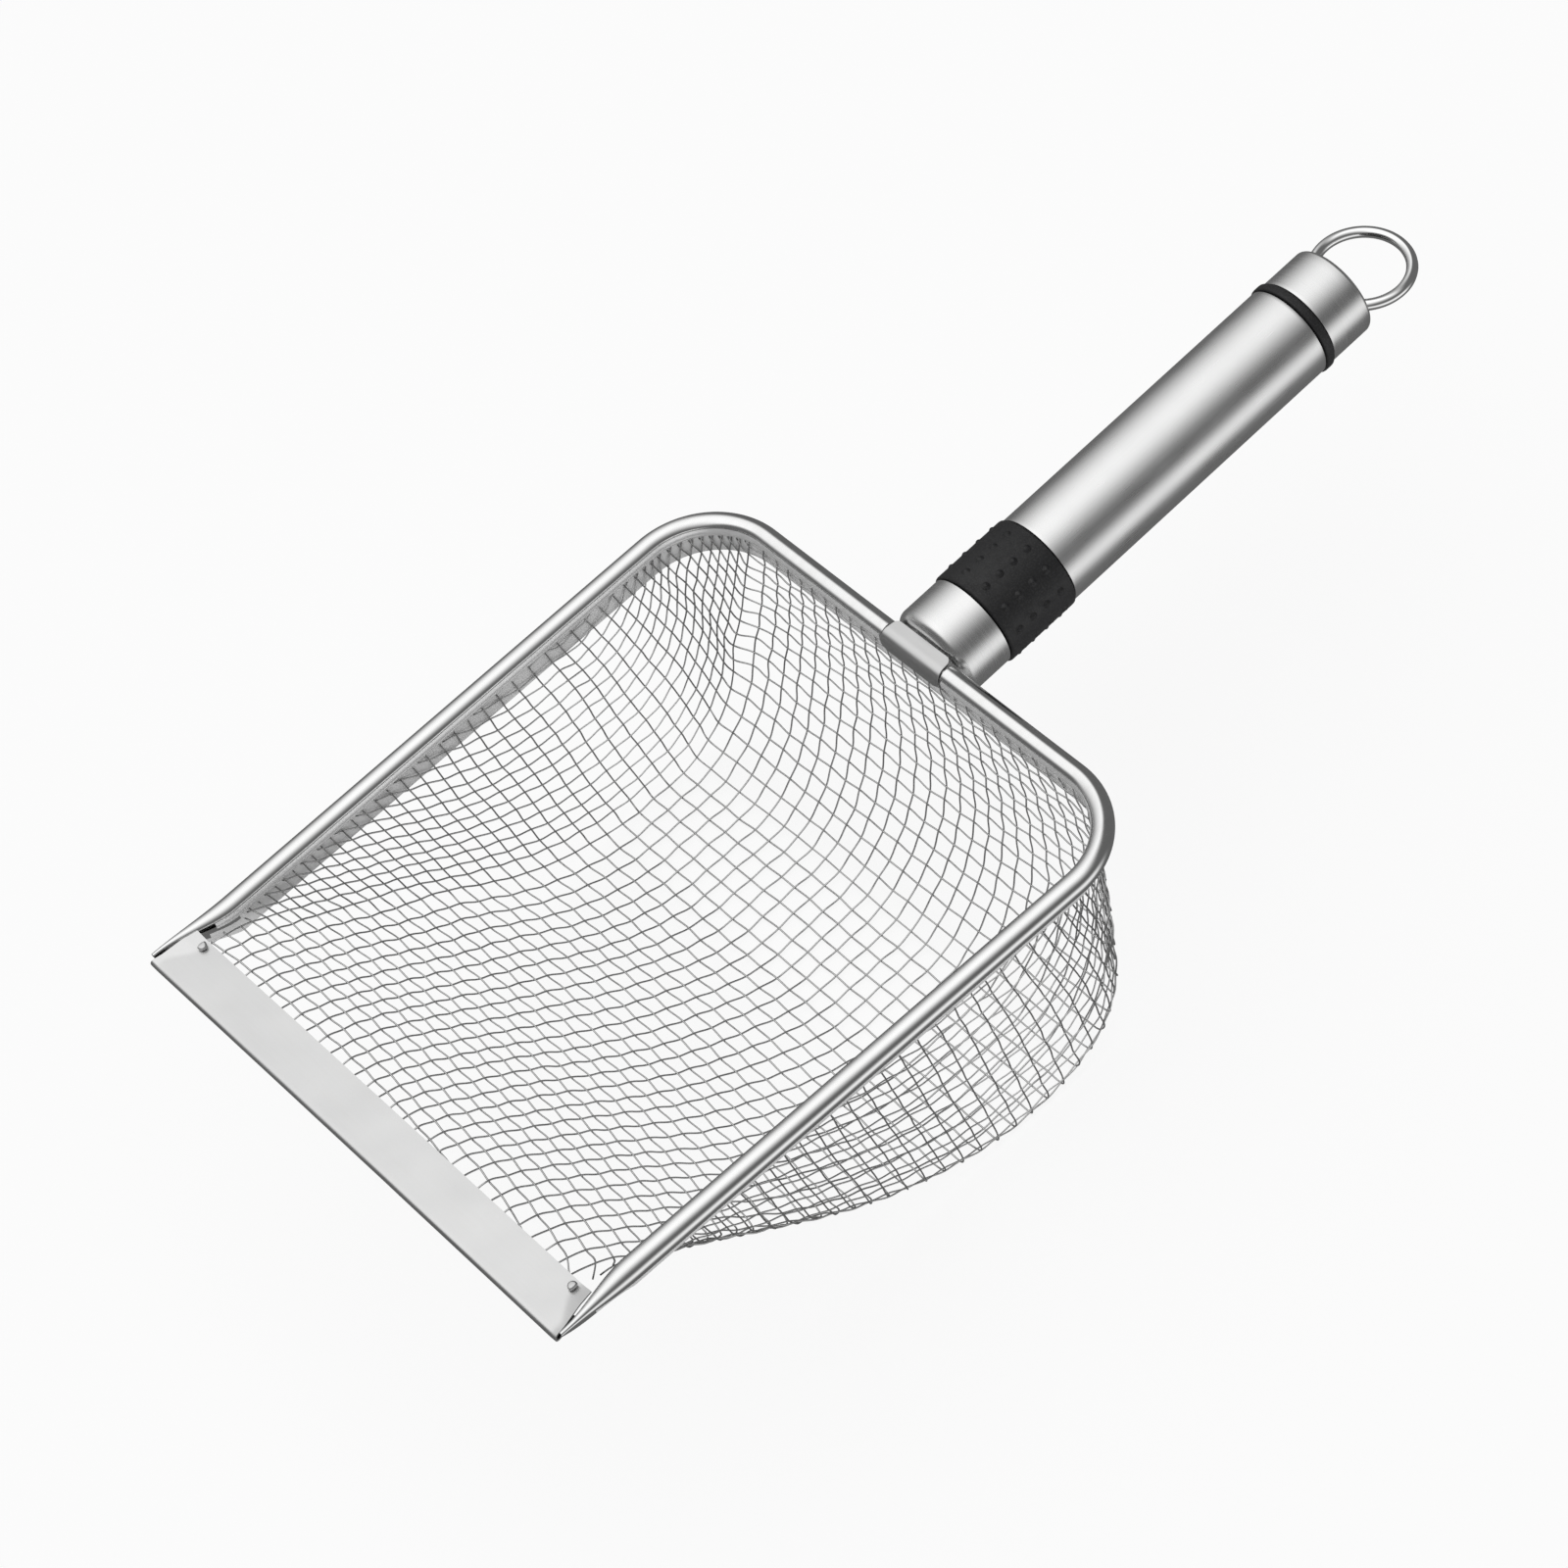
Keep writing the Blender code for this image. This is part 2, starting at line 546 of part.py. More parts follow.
def build_loop_plug(group, cutters, handle):
    """The plug in the end cap: a disc with an eye on it, whose bore lies across the handle."""
    plug = cylinder("loop_plug", CAP_R - CAP_WALL - 0.3, PLUG_REAR - PLUG_FRONT,
                    (0.0, 0.0, (PLUG_FRONT + PLUG_REAR) / 2), group, handle, sides=48,
                    finish=(PLASTIC, 0.45, 0.0))
    post = block("eye_post", (-EYE_HALF, -EYE_R, PLUG_REAR - 1.0), (EYE_HALF, EYE_R, RING_PIVOT),
                 cutters, handle)
    head = cylinder("eye_head", EYE_R, 2 * EYE_HALF, (0.0, 0.0, RING_PIVOT), cutters, handle, True)
    bore = cylinder("eye_bore", EYE_BORE_R, 12.0, (0.0, 0.0, RING_PIVOT), cutters, handle, True)
    combine(plug, post, 'UNION')
    combine(plug, head, 'UNION')
    combine(plug, bore, 'DIFFERENCE')


def build_ring(group, handle):
    """The wire ring. Its object's origin is on the axis that it swings about."""
    curve = bpy.data.curves.new("hanging_loop", 'CURVE')
    curve.dimensions = '3D'
    curve.bevel_depth = RING_WIRE_R * MM
    curve.bevel_resolution = 3
    count = 48
    spline = curve.splines.new('POLY')
    spline.points.add(count - 1)
    for index, point in enumerate(spline.points):
        angle = 2.0 * pi * index / count
        point.co = (RING_R * sin(angle) * MM, 0.0, RING_R * (1.0 - cos(angle)) * MM, 1.0)
    spline.use_cyclic_u = True
    ring = new_object("hanging_loop", curve, group, handle, (CHROME, 0.08, 1.0))
    ring.location = (0.0, 0.0, RING_PIVOT * MM)
    ring.rotation_euler = (RING_DROOP, 0.0, 0.0)


def main():
    clear_scene()
    group = new_collection(OBJECT_NAME)
    cutters = new_collection("cutters")
    frame = new_object("sieve_frame", None, group)
    frame.location = (0.0, -(RING_END_Y + BLADE_FRONT_Y) / 2 * MM, RIM_HEIGHT * MM)
    handle = new_object("handle_axis", None, group, frame)
    handle.location = (0.0, REAR_Y * MM, HANDLE_Z * MM)
    handle.rotation_euler = (HANDLE_TILT - pi / 2, 0.0, 0.0)

    build_rim(group, cutters, frame)
    build_clamp_lips(group, frame)
    build_basket(group, frame)
    build_blade(group, frame)
    build_blade_fittings(group, frame)
    build_saddle(group, frame)
    build_ferrule(group, handle)
    build_bushes(group, handle)
    build_collar(group, cutters, handle)
    build_tube_and_rings(group, handle)
    build_tie_rod(group, cutters, handle)
    build_loop_plug(group, cutters, handle)
    build_ring(group, handle)


main()
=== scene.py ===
"""Soil sieve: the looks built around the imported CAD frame.

Lengths are in millimetres in the sieve frame until world() turns them into metres of the row frame:
x to the right, y from the rim's front tips towards the handle, z up from the plane of the rim's bead.
"""
from math import acos, atan2, cos, degrees, pi, radians, sin, sqrt, tan

import bmesh
import bpy
from mathutils import Matrix, Vector, noise
from mathutils.bvhtree import BVHTree

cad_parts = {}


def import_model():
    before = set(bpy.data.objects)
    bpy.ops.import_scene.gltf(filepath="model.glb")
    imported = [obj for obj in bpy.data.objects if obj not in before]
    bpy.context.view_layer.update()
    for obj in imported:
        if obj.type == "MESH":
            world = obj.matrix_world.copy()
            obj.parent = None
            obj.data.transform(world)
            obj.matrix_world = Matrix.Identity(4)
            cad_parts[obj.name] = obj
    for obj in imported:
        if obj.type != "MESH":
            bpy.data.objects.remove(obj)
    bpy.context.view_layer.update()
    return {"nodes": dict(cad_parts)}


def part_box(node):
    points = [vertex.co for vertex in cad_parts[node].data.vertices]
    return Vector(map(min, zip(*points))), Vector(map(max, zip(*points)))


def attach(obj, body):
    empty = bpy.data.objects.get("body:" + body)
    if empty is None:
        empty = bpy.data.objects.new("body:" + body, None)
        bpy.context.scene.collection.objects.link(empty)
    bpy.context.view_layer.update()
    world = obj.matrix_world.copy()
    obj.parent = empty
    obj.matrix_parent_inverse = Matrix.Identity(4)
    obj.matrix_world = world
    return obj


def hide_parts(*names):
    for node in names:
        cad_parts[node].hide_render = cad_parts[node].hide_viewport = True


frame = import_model()

MM = 0.001
SCOOP, LOOP = "scoop", "loop"

# Rim: a strip of sheet rolled into a bead, with a skirt hanging from the bead's inner side.
FRONT_HALF, REAR_HALF = 67.46, 70.35
CORNER_R = 19.8
BEAD_OUTER_R, RIM_SHEET = 2.7, 0.5
ROLL_END, SKIRT_Q = 506.6, -0.88
SKIRT_DROP, SKIRT_SLOPE, SKIRT_RISE = 8.0, 0.43, 0.8
RIM_START_Y, TAPER_END_Y, TIP_SHARE = 0.2, 21.0, 0.2
NOTCH_HALF, NOTCH_FLOOR_Z = 9.6, -2.2
SKIRT_TOP_Z = -2.75         # faces below this get the skirt's pale, mostly non-metal material: a painted reflection
LIP_START_Y, LIP_END_X, LIP_ANGLES = 15.0, 10.0, (153.5, 222.0)

# Basket's middle surface.
MESH_Q, MESH_EDGE_Z = -1.85, -1.9
MESH_FRONT_Y, MESH_FRONT_HALF, MESH_FRONT_Z = 5.9, 63.9, 0.75
DRAW_DEPTH, BASE_DEPTH = 74.5, 73.1
DEEPEST_Y, RAMP_START_Y = 126.0, 11.2
RAMP_POWER, REAR_POWER = 1.44, 2.6
FOLD_R, WALL_LEAN = 4.8, 1.0
EDGE_DIVE_Y, EDGE_LOW_Y, EDGE_WIDE_Y = 15.0, 19.0, 22.5   # where the edge dives, is low, is full width
EDGE_LOW_EXTRA = 0.3
MARGIN = 12.0       # how far the surface that the wires are laid on runs on past the basket's edge
FRONT_PITCH, DEEP_PITCH, STRETCHED_DEPTH = 4.2, 5.0, 45.0
SETTLE_STEPS, SETTLE_SOFTNESS, SETTLE_REACH = 14, 0.02, 0.4
WIRE_R = 0.2
NET_SEED = 7
BOW_X, BOW_FULL_Y, BOW_SIZE, BOW_LIFT = -22.0, 30.0, 0.0016, 900.0
WALL_DRAG_LEFT, WALL_DRAG_RIGHT, WALL_DRAG_EASE = 0.3, 0.25, 0.4
WALL_FOOT, WALL_NEAR_X = 2.0, 50.0
SLOW_WANDER, QUICK_WANDER = 0.9, 0.16

# Blade.
BLADE_FRONT_Y, BLADE_INNER_Y = -1.0, 11.0
BLADE_HALF, BLADE_NARROWING = 68.95, 0.18
BLADE_TOP_Z, BLADE_SHEET, HEM_R, HEM_END_Y = 1.95, 0.45, 0.95, 5.4
CREASE_INNER, CREASE_FRONT, CREASE_SLOPE, END_RISE = 63.2, 68.6, 0.75, 0.34
HEM_FORWARD = 0.3           # how far the hem's round edge stands in front of the CAD blade
STRIP_LOW, STRIP_HIGH = (-62.2, 5.9, -0.37), (62.2, 10.6, 0.1)
CLIP_X, CLIP_Y, CLIP_HALF = 63.1, 9.2, 1.1
CLIP_OUTWARD, CLIP_INWARD = 0.6, 1.15

# Saddle: a tongue of sheet with a leg in front, a bend, and a flat that the handle is welded to.
SADDLE_HALF_WIDTH, SADDLE_HALF_SHEET, SADDLE_BEND = 9.35, 0.4, 2.4
SADDLE_TOP_Z, SADDLE_FOOT_Z, SADDLE_REACH = 2.6, -2.1, 2.6

# Handle, along its own axis from the plane of the rear bead.
HANDLE_TILT, HANDLE_Z = radians(2.82), -5.0
TUBE_R, TUBE_WALL, CUP_WALL = 11.95, 0.6, 0.8
FERRULE_FRONT, FERRULE_REAR = 3.4, 16.2
COLLAR_FRONT, COLLAR_REAR, COLLAR_R, COLLAR_BORE_R = 16.5, 36.6, 12.45, 10.7
BUMP_ROWS, BUMPS_PER_ROW, BUMP_PITCH = 12, 4, 4.3
BUMP_R, BUMP_HEIGHT = 1.25, 0.62
TUBE_FRONT, TUBE_REAR = 36.9, 118.5
SEAL_FRONT, SEAL_REAR, SEAL_R, SEAL_BORE_R = 118.8, 121.1, 12.35, 9.6
CAP_FRONT, CAP_REAR, CAP_R = 121.4, 134.0, 11.8
RING_PIVOT, RING_R, RING_WIRE_R = 131.6, 11.5, 1.4
RING_DROOP = radians(-6.0)

# Studio: light panels as (angles round the sieve's length, directions along it, strength).
KEY_PANEL = ((-105, -15, -5, 60), (-0.82, -0.55, 0.34, 0.64), 1.12)
SIDE_PANEL = ((72, 104, 107, 140), (-0.9, -0.6, 0.5, 0.85), 0.9)
FILL_LIGHT, BACKDROP_LIGHT, FLOOR_LIGHT = 0.14, 0.93, 0.84
FLOOR_HALF = 4.0

# Camera: where it looks, and from where.
LENS_WIDTH, LENS_LENGTH = 36.0, 108.03
CAMERA_AROUND, CAMERA_ABOVE, CAMERA_ROLL = radians(61.25), radians(53.74), radians(-17.0)
CAMERA_AIM, CAMERA_DISTANCE = (2.71, 123.97, 0.0), 1031.2

front_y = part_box("front_blade")[0][1] - BLADE_FRONT_Y * MM
bead_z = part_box("rolled_rim")[1][2] - BEAD_OUTER_R * MM
REAR_Y = (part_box("rolled_rim")[1][1] - front_y) / MM - BEAD_OUTER_R


# ---------------------------------------------------------------- frames and meshes

def world(x, y, z):
    return Vector((x * MM, front_y + y * MM, bead_z + z * MM))


def on_handle(across, up, along):
    """A point given in the handle's own frame."""
    y = REAR_Y + along * cos(HANDLE_TILT) - up * sin(HANDLE_TILT)
    z = HANDLE_Z + along * sin(HANDLE_TILT) + up * cos(HANDLE_TILT)
    return world(across, y, z)


def make_piece(name, points, faces, finish, body, replaces=(), sharp_angle=40.0):
    mesh = bpy.data.meshes.new(name)
    mesh.from_pydata(points, [], faces)
    shell = bmesh.new()
    shell.from_mesh(mesh)
    bmesh.ops.recalc_face_normals(shell, faces=shell.faces)
    shell.to_mesh(mesh)
    shell.free()
    mesh.shade_smooth()
    mesh.set_sharp_from_angle(angle=radians(sharp_angle))
    mesh.materials.append(finish)
    piece = bpy.data.objects.new(name, mesh)
    bpy.context.scene.collection.objects.link(piece)
    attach(piece, body)
    if replaces:
        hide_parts(*replaces)
    return piece


def loft_loops(loops, capped=True):
    """Points and faces through closed loops of equal length. Each loop is one side then the other, so that
    a cap is a strip of quads between the two sides."""
    points = [point for loop in loops for point in loop]
    ring = len(loops[0])
    faces = []
    for row in range(len(loops) - 1):
        for place in range(ring):
            following = (place + 1) % ring
            first, second = row * ring, (row + 1) * ring
            faces.append((first + place, first + following, second + following, second + place))
    if capped:
        for row in (0, len(loops) - 1):
            start = row * ring
            for place in range(ring // 2 - 1):
                far = ring - 1 - place
                faces.append((start + place, start + place + 1, start + far - 1, start + far))
    return points, faces


def turned(name, outline, finish, replaces=(), steps=128, body=SCOOP):
    """A piece turned about the handle's axis from a closed outline of (radius, place along the handle)."""
    points = []
    faces = []
    count = len(outline)
    for step in range(steps):
        angle = 2.0 * pi * step / steps
        points += [on_handle(radius * sin(angle), radius * cos(angle), along) for radius, along in outline]
    for step in range(steps):
        first, second = step * count, ((step + 1) % steps) * count
        for place in range(count):
            following = (place + 1) % count
            faces.append((first + place, first + following, second + following, second + place))
    return make_piece(name, points, faces, finish, body, replaces)


def arc(centre_a, centre_b, radius, start, end, steps):
    angles = [radians(start + (end - start) * step / steps) for step in range(steps + 1)]
    return [(centre_a + radius * cos(angle), centre_b + radius * sin(angle)) for angle in angles]


def round_tip(first, second, steps=4):
    """Points of a half circle from one point to another, bulging to the right of the way between them."""
    middle = ((first[0] + second[0]) / 2, (first[1] + second[1]) / 2)
    arm = (first[0] - middle[0], first[1] - middle[1])
    made = []
    for step in range(1, steps):
        angle = pi * step / steps
        made.append((middle[0] + arm[0] * cos(angle) - arm[1] * sin(angle),
                     middle[1] + arm[1] * cos(angle) + arm[0] * sin(angle)))
    return made


# ---------------------------------------------------------------- materials

def new_material(name, metallic, roughness, colour):
    mat = bpy.data.materials.new(name)
    mat.use_nodes = True
    shader = mat.node_tree.nodes["Principled BSDF"]
    shader.inputs["Metallic"].default_value = metallic
    shader.inputs["Roughness"].default_value = roughness
    shader.inputs["Base Color"].default_value = (*colour, 1.0)
    return mat, mat.node_tree, shader


def add_noise(tree, scale, stretch=(1, 1, 1), tilt=0.0, detail=3.0):
    """Noise in the row frame, with scale in cycles per metre, stretched along its axes."""
    where = tree.nodes.new("ShaderNodeTexCoord")
    turn = tree.nodes.new("ShaderNodeMapping")
    turn.inputs["Rotation"].default_value = (-tilt, 0, 0)
    size = tree.nodes.new("ShaderNodeMapping")
    size.inputs["Scale"].default_value = stretch
    made = tree.nodes.new("ShaderNodeTexNoise")
    made.inputs["Scale"].default_value = scale
    made.inputs["Detail"].default_value = detail
    tree.links.new(where.outputs["Object"], turn.inputs["Vector"])
    tree.links.new(turn.outputs["Vector"], size.inputs["Vector"])
    tree.links.new(size.outputs["Vector"], made.inputs["Vector"])
    return made.outputs["Fac"]


def spread(tree, value, low, high, window=(0.3, 0.7)):
    node = tree.nodes.new("ShaderNodeMapRange")
    node.inputs["From Min"].default_value, node.inputs["From Max"].default_value = window
    node.inputs["To Min"].default_value, node.inputs["To Max"].default_value = low, high
    tree.links.new(value, node.inputs["Value"])
    return node.outputs["Result"]


def product(tree, one, two):
    node = tree.nodes.new("ShaderNodeMath")
    node.operation = 'MULTIPLY'
    tree.links.new(one, node.inputs[0])
    tree.links.new(two, node.inputs[1])
    return node.outputs[0]


def tint(tree, value, dark, light):
    node = tree.nodes.new("ShaderNodeMix")
    node.data_type = 'RGBA'
    node.inputs["A"].default_value = (*dark, 1.0)
    node.inputs["B"].default_value = (*light, 1.0)
    tree.links.new(value, node.inputs["Factor"])
    return node.outputs["Result"]


def add_bump(tree, shader, value, height_mm, strength=1.0):
    node = tree.nodes.new("ShaderNodeBump")
    node.inputs["Distance"].default_value = height_mm * MM
    node.inputs["Strength"].default_value = strength
    tree.links.new(value, node.inputs["Height"])
    tree.links.new(node.outputs["Normal"], shader.inputs["Normal"])


def steel(name, grey, roughness, streak_scale, stretch, tilt=0.0, streak=0.05, cloud=0.04, height=0.004):
    """Steel with fine streaks one way and faint clouds in its shine."""
    mat, tree, shader = new_material(name, 1.0, roughness, (grey,) * 3)
    lines = add_noise(tree, streak_scale, stretch, tilt, 4.0)
    clouds = add_noise(tree, 90.0, detail=3.0)
    shine = spread(tree, lines, roughness - streak, roughness + streak)
    uneven = spread(tree, clouds, 1.0 - cloud * 4, 1.0 + cloud * 4)
    tree.links.new(product(tree, shine, uneven), shader.inputs["Roughness"])
    mixed = product(tree, spread(tree, lines, 0.3, 1.0), spread(tree, clouds, 0.6, 1.0))
    dark = tuple(grey * (1.0 - cloud * 2.2) * part for part in (1.0, 0.998, 0.99))
    light = tuple(min(1.0, grey * (1.0 + cloud)) * part for part in (0.997, 1.0, 1.0))
    tree.links.new(tint(tree, mixed, dark, light), shader.inputs["Base Color"])
    add_bump(tree, shader, lines, height)
    return mat


def satin_and_painted_reflection(name, grey, roughness, metallic):
    """Matt-rolled steel, part metal with a pale base colour, that scatters light as well as mirroring it. On
    the rim's skirt this pale colour is a painted reflection: it stands in for the bright light that the
    steel reflects there.
    """
    mat, tree, shader = new_material(name, metallic, roughness, (grey,) * 3)
    lines = add_noise(tree, 500.0, (1, 0.05, 1), 0.0, 4.0)
    clouds = add_noise(tree, 60.0, (1, 0.5, 1), detail=3.0)
    tree.links.new(spread(tree, lines, roughness - 0.05, roughness + 0.05), shader.inputs["Roughness"])
    mixed = product(tree, spread(tree, lines, 0.5, 1.0), spread(tree, clouds, 0.4, 1.0))
    tree.links.new(tint(tree, mixed, (grey * 0.85,) * 3, (grey * 1.05,) * 3), shader.inputs["Base Color"])
    add_bump(tree, shader, clouds, 0.02)
    return mat


def rubber(name):
    mat, tree, shader = new_material(name, 0.0, 0.5, (0.018,) * 3)
    grain = add_noise(tree, 2600.0, detail=4.0)
    mottle = add_noise(tree, 420.0, detail=4.0)
    tree.links.new(spread(tree, mottle, 0.42, 0.62), shader.inputs["Roughness"])
    speck = product(tree, spread(tree, grain, 0.0, 1.0, (0.45, 0.75)), spread(tree, mottle, 0.3, 1.0))
    tree.links.new(tint(tree, speck, (0.012, 0.012, 0.013), (0.042, 0.042, 0.043)),
                   shader.inputs["Base Color"])
    add_bump(tree, shader, grain, 0.05)
    shader.inputs["Specular IOR Level"].default_value = 0.45
    return mat


def plastic(name, grey):
    mat, tree, shader = new_material(name, 0.0, 0.45, (grey,) * 3)
    grain = add_noise(tree, 1800.0, detail=4.0)
    tree.links.new(spread(tree, grain, 0.36, 0.52), shader.inputs["Roughness"])
    tree.links.new(tint(tree, grain, (grey * 0.85,) * 3, (grey * 1.1,) * 3), shader.inputs["Base Color"])
    add_bump(tree, shader, grain, 0.02)
    return mat


RIM_STEEL = steel("rim_steel", 0.80, 0.15, 700.0, (1, 0.06, 1), streak=0.02, cloud=0.03, height=0.002)
BLADE_STEEL = steel("blade_steel", 0.70, 0.34, 700.0, (0.07, 1, 1), streak=0.03, cloud=0.03, height=0.003)
LAND_STEEL = steel("land_steel", 0.62, 0.32, 900.0, (0.3, 1, 1), streak=0.03, cloud=0.03)
TUBE_STEEL = steel("tube_steel", 0.80, 0.29, 3200.0, (0.6, 0.03, 0.6), HANDLE_TILT, streak=0.02, cloud=0.02,
                   height=0.001)
CAP_STEEL = steel("cap_steel", 0.80, 0.27, 2600.0, (0.02, 1, 0.02), HANDLE_TILT, streak=0.03, cloud=0.02,
                  height=0.002)
BAND_STEEL = satin_and_painted_reflection("band_steel", 0.95, 0.2, 0.45)
# The skirt's material is a painted reflection: pale and mostly non-metal, so that it looks as bright as the
# steel's reflection.
SKIRT_PAINTED_REFLECTION = satin_and_painted_reflection("skirt_painted_reflection", 0.92, 0.3, 0.15)
WIRE_STEEL = steel("wire_steel", 0.66, 0.18, 1400.0, (1, 1, 1), streak=0.05, height=0.002)
RING_STEEL = steel("ring_steel", 0.88, 0.07, 500.0, (1, 1, 1), streak=0.02, cloud=0.02, height=0.0005)
ROD_STEEL = steel("rod_steel", 0.62, 0.34, 2400.0, (1, 1, 1))
COLLAR_RUBBER = rubber("collar_rubber")
SEAL_RUBBER = rubber("seal_rubber")
BUSH_PLASTIC = plastic("bush_plastic", 0.09)


# ---------------------------------------------------------------- the rim's path

def axis_half(y):
    return FRONT_HALF + (REAR_HALF - FRONT_HALF) * y / REAR_Y


def corner():
    """The back right corner: its centre, and its angles where it meets the side and the back."""
    lean = atan2(REAR_HALF - FRONT_HALF, REAR_Y)
    reach = CORNER_R * tan((pi / 2 + lean) / 2)
    return REAR_HALF - reach, REAR_Y - CORNER_R, -lean, pi / 2


def right_half(start_y):
    """Stations (x, y, outward x, outward y) along the bead's axis, from the front to the back corner."""
    centre_x, centre_y, first, last = corner()
    end_y = centre_y + CORNER_R * sin(first)
    near = [start_y + (TAPER_END_Y - start_y) * step / 24 for step in range(24)]
    far = [TAPER_END_Y + (end_y - TAPER_END_Y) * step / 36 for step in range(36)]
    stations = [(axis_half(y), y, cos(first), sin(first)) for y in near + far]
    for step in range(29):
        angle = first + (last - first) * step / 28
        stations.append((centre_x + CORNER_R * cos(angle), centre_y + CORNER_R * sin(angle),
                         cos(angle), sin(angle)))
    return stations


def mirrored(stations):
    return [(-x, y, -out_x, out_y) for x, y, out_x, out_y in stations]


def whole_path():
    """Stations from the left front tip round the back to the right front tip."""
    right = right_half(RIM_START_Y)
    corner_x = right[-1][0]
    right += [(corner_x * (1.0 - step / 12), REAR_Y, 0.0, 1.0) for step in range(1, 12)]
    return mirrored(right) + [(0.0, REAR_Y, 0.0, 1.0)] + right[::-1]


def placed(station, profile):
    x, y, out_x, out_y = station
    return [world(x + out * out_x, y + out * out_y, z) for out, z in profile]


def bead_share(y):
    """Size of the bead at y, against its full size. It narrows towards its tip at the front."""
    share = min(1.0, y / TAPER_END_Y)
    return TIP_SHARE + (1.0 - TIP_SHARE) * share * share * (3.0 - 2.0 * share)


def rim_profile(y):
    """The rolled sheet's two sides at y: up the skirt, then round the bead by its underside."""
    share = bead_share(y)
    centre = BEAD_OUTER_R * (1.0 - share)
    foot_z = -min(SKIRT_DROP, SKIRT_SLOPE * y - SKIRT_RISE)
    sides = []
    for radius, reach in ((BEAD_OUTER_R, SKIRT_Q), (BEAD_OUTER_R - RIM_SHEET, SKIRT_Q - RIM_SHEET)):
        start = 180.0 + degrees(acos(-reach / radius))
        roll = arc(centre, centre, radius * share, start, ROLL_END, 56)
        skirt_x, top_z = roll[0]
        sides.append([(skirt_x, foot_z + (top_z - foot_z) * step / 3) for step in range(3)] + roll)
    return sides


def applied(piece):
    """Applies the piece's modifiers."""
    graph = bpy.context.evaluated_depsgraph_get()
    piece.data = bpy.data.meshes.new_from_object(piece.evaluated_get(graph))
    piece.modifiers.clear()


def build_rim():
    loops = []
    for station in whole_path():
        outer, inner = rim_profile(station[1])
        inner.reverse()
        tip = round_tip(outer[-1], inner[0])
        foot = round_tip(inner[-1], outer[0])
        loops.append(placed(station, foot[2:] + outer + tip + inner + foot[:2]))
    points, faces = loft_loops(loops, capped=False)
    ring = len(loops[0])
    for row in (0, len(loops) - 1):
        start = row * ring
        for place in range(ring // 2 - 1):
            far = ring - 2 - place
            faces.append((start + place, start + place + 1, start + far - 1, start + far))
    rim = make_piece("rim_bead", points, faces, RIM_STEEL, SCOOP, ["rolled_rim"])
    bpy.ops.mesh.primitive_cube_add(size=1.0)
    cutter = bpy.context.object
    cutter.scale = (2 * NOTCH_HALF * MM, 10.0 * MM, (5.0 - NOTCH_FLOOR_Z) * MM)
    cutter.location = world(0.0, REAR_Y, (5.0 + NOTCH_FLOOR_Z) / 2)
    notch = rim.modifiers.new("notch", 'BOOLEAN')
    notch.operation = 'DIFFERENCE'
    notch.solver = 'EXACT'
    notch.object = cutter
    applied(rim)
    bpy.data.objects.remove(cutter, do_unlink=True)
    # Faces of the skirt get the pale, mostly non-metal material: a painted reflection standing in for the
    # bright light the steel reflects.
    rim.data.materials.append(SKIRT_PAINTED_REFLECTION)
    skirt_top = world(0.0, 0.0, SKIRT_TOP_Z).z
    for face in rim.data.polygons:
        if face.center.z < skirt_top:
            face.material_index = 1


def build_clamp_lips():
    """The strips that close the bead's inner side. Each has a fine groove along its lower part."""
    start, end = LIP_ANGLES
    right = right_half(LIP_START_Y)
    corner_x = right[-1][0]
    right += [(corner_x + (LIP_END_X - corner_x) * step / 10, REAR_Y, 0.0, 1.0) for step in range(1, 11)]
    for word, stations in (("left", mirrored(right)), ("right", right)):
        loops = []
        for station in stations:
            share = bead_share(station[1])
            centre = BEAD_OUTER_R * (1.0 - share)
            outer = []
            for step in range(19):
                groove = 0.12 if step in (10, 14) else 0.0
                angle = radians(start + (end - start) * step / 18)
                radius = (BEAD_OUTER_R - groove) * share
                outer.append((centre + radius * cos(angle), centre + radius * sin(angle)))
            inner = arc(centre, centre, (BEAD_OUTER_R - RIM_SHEET) * share, end, start, 18)
            loops.append(placed(station, outer + inner))
        points, faces = loft_loops(loops)
        make_piece("clamp_lip_" + word, points, faces, BAND_STEEL, SCOOP,
                   ["clamp_lip_" + word], 50.0)


# ---------------------------------------------------------------- woven basket

def basket_floor(y):
    """Height of the basket's middle line at y: level under the blade, down the ramp, up the back."""
    if y < DEEPEST_Y:
        share = max(0.0, (y - RAMP_START_Y) / (DEEPEST_Y - RAMP_START_Y))
        drop = share ** RAMP_POWER * (1.0 + RAMP_POWER * (1.0 - share))
        return MESH_FRONT_Z - (DRAW_DEPTH + MESH_FRONT_Z) * drop
    share = min(1.0, (y - DEEPEST_Y) / (REAR_Y + MESH_Q - DEEPEST_Y))
    return MESH_EDGE_Z - (DRAW_DEPTH + MESH_EDGE_Z) * (1.0 - share ** REAR_POWER) ** (1.0 / REAR_POWER)


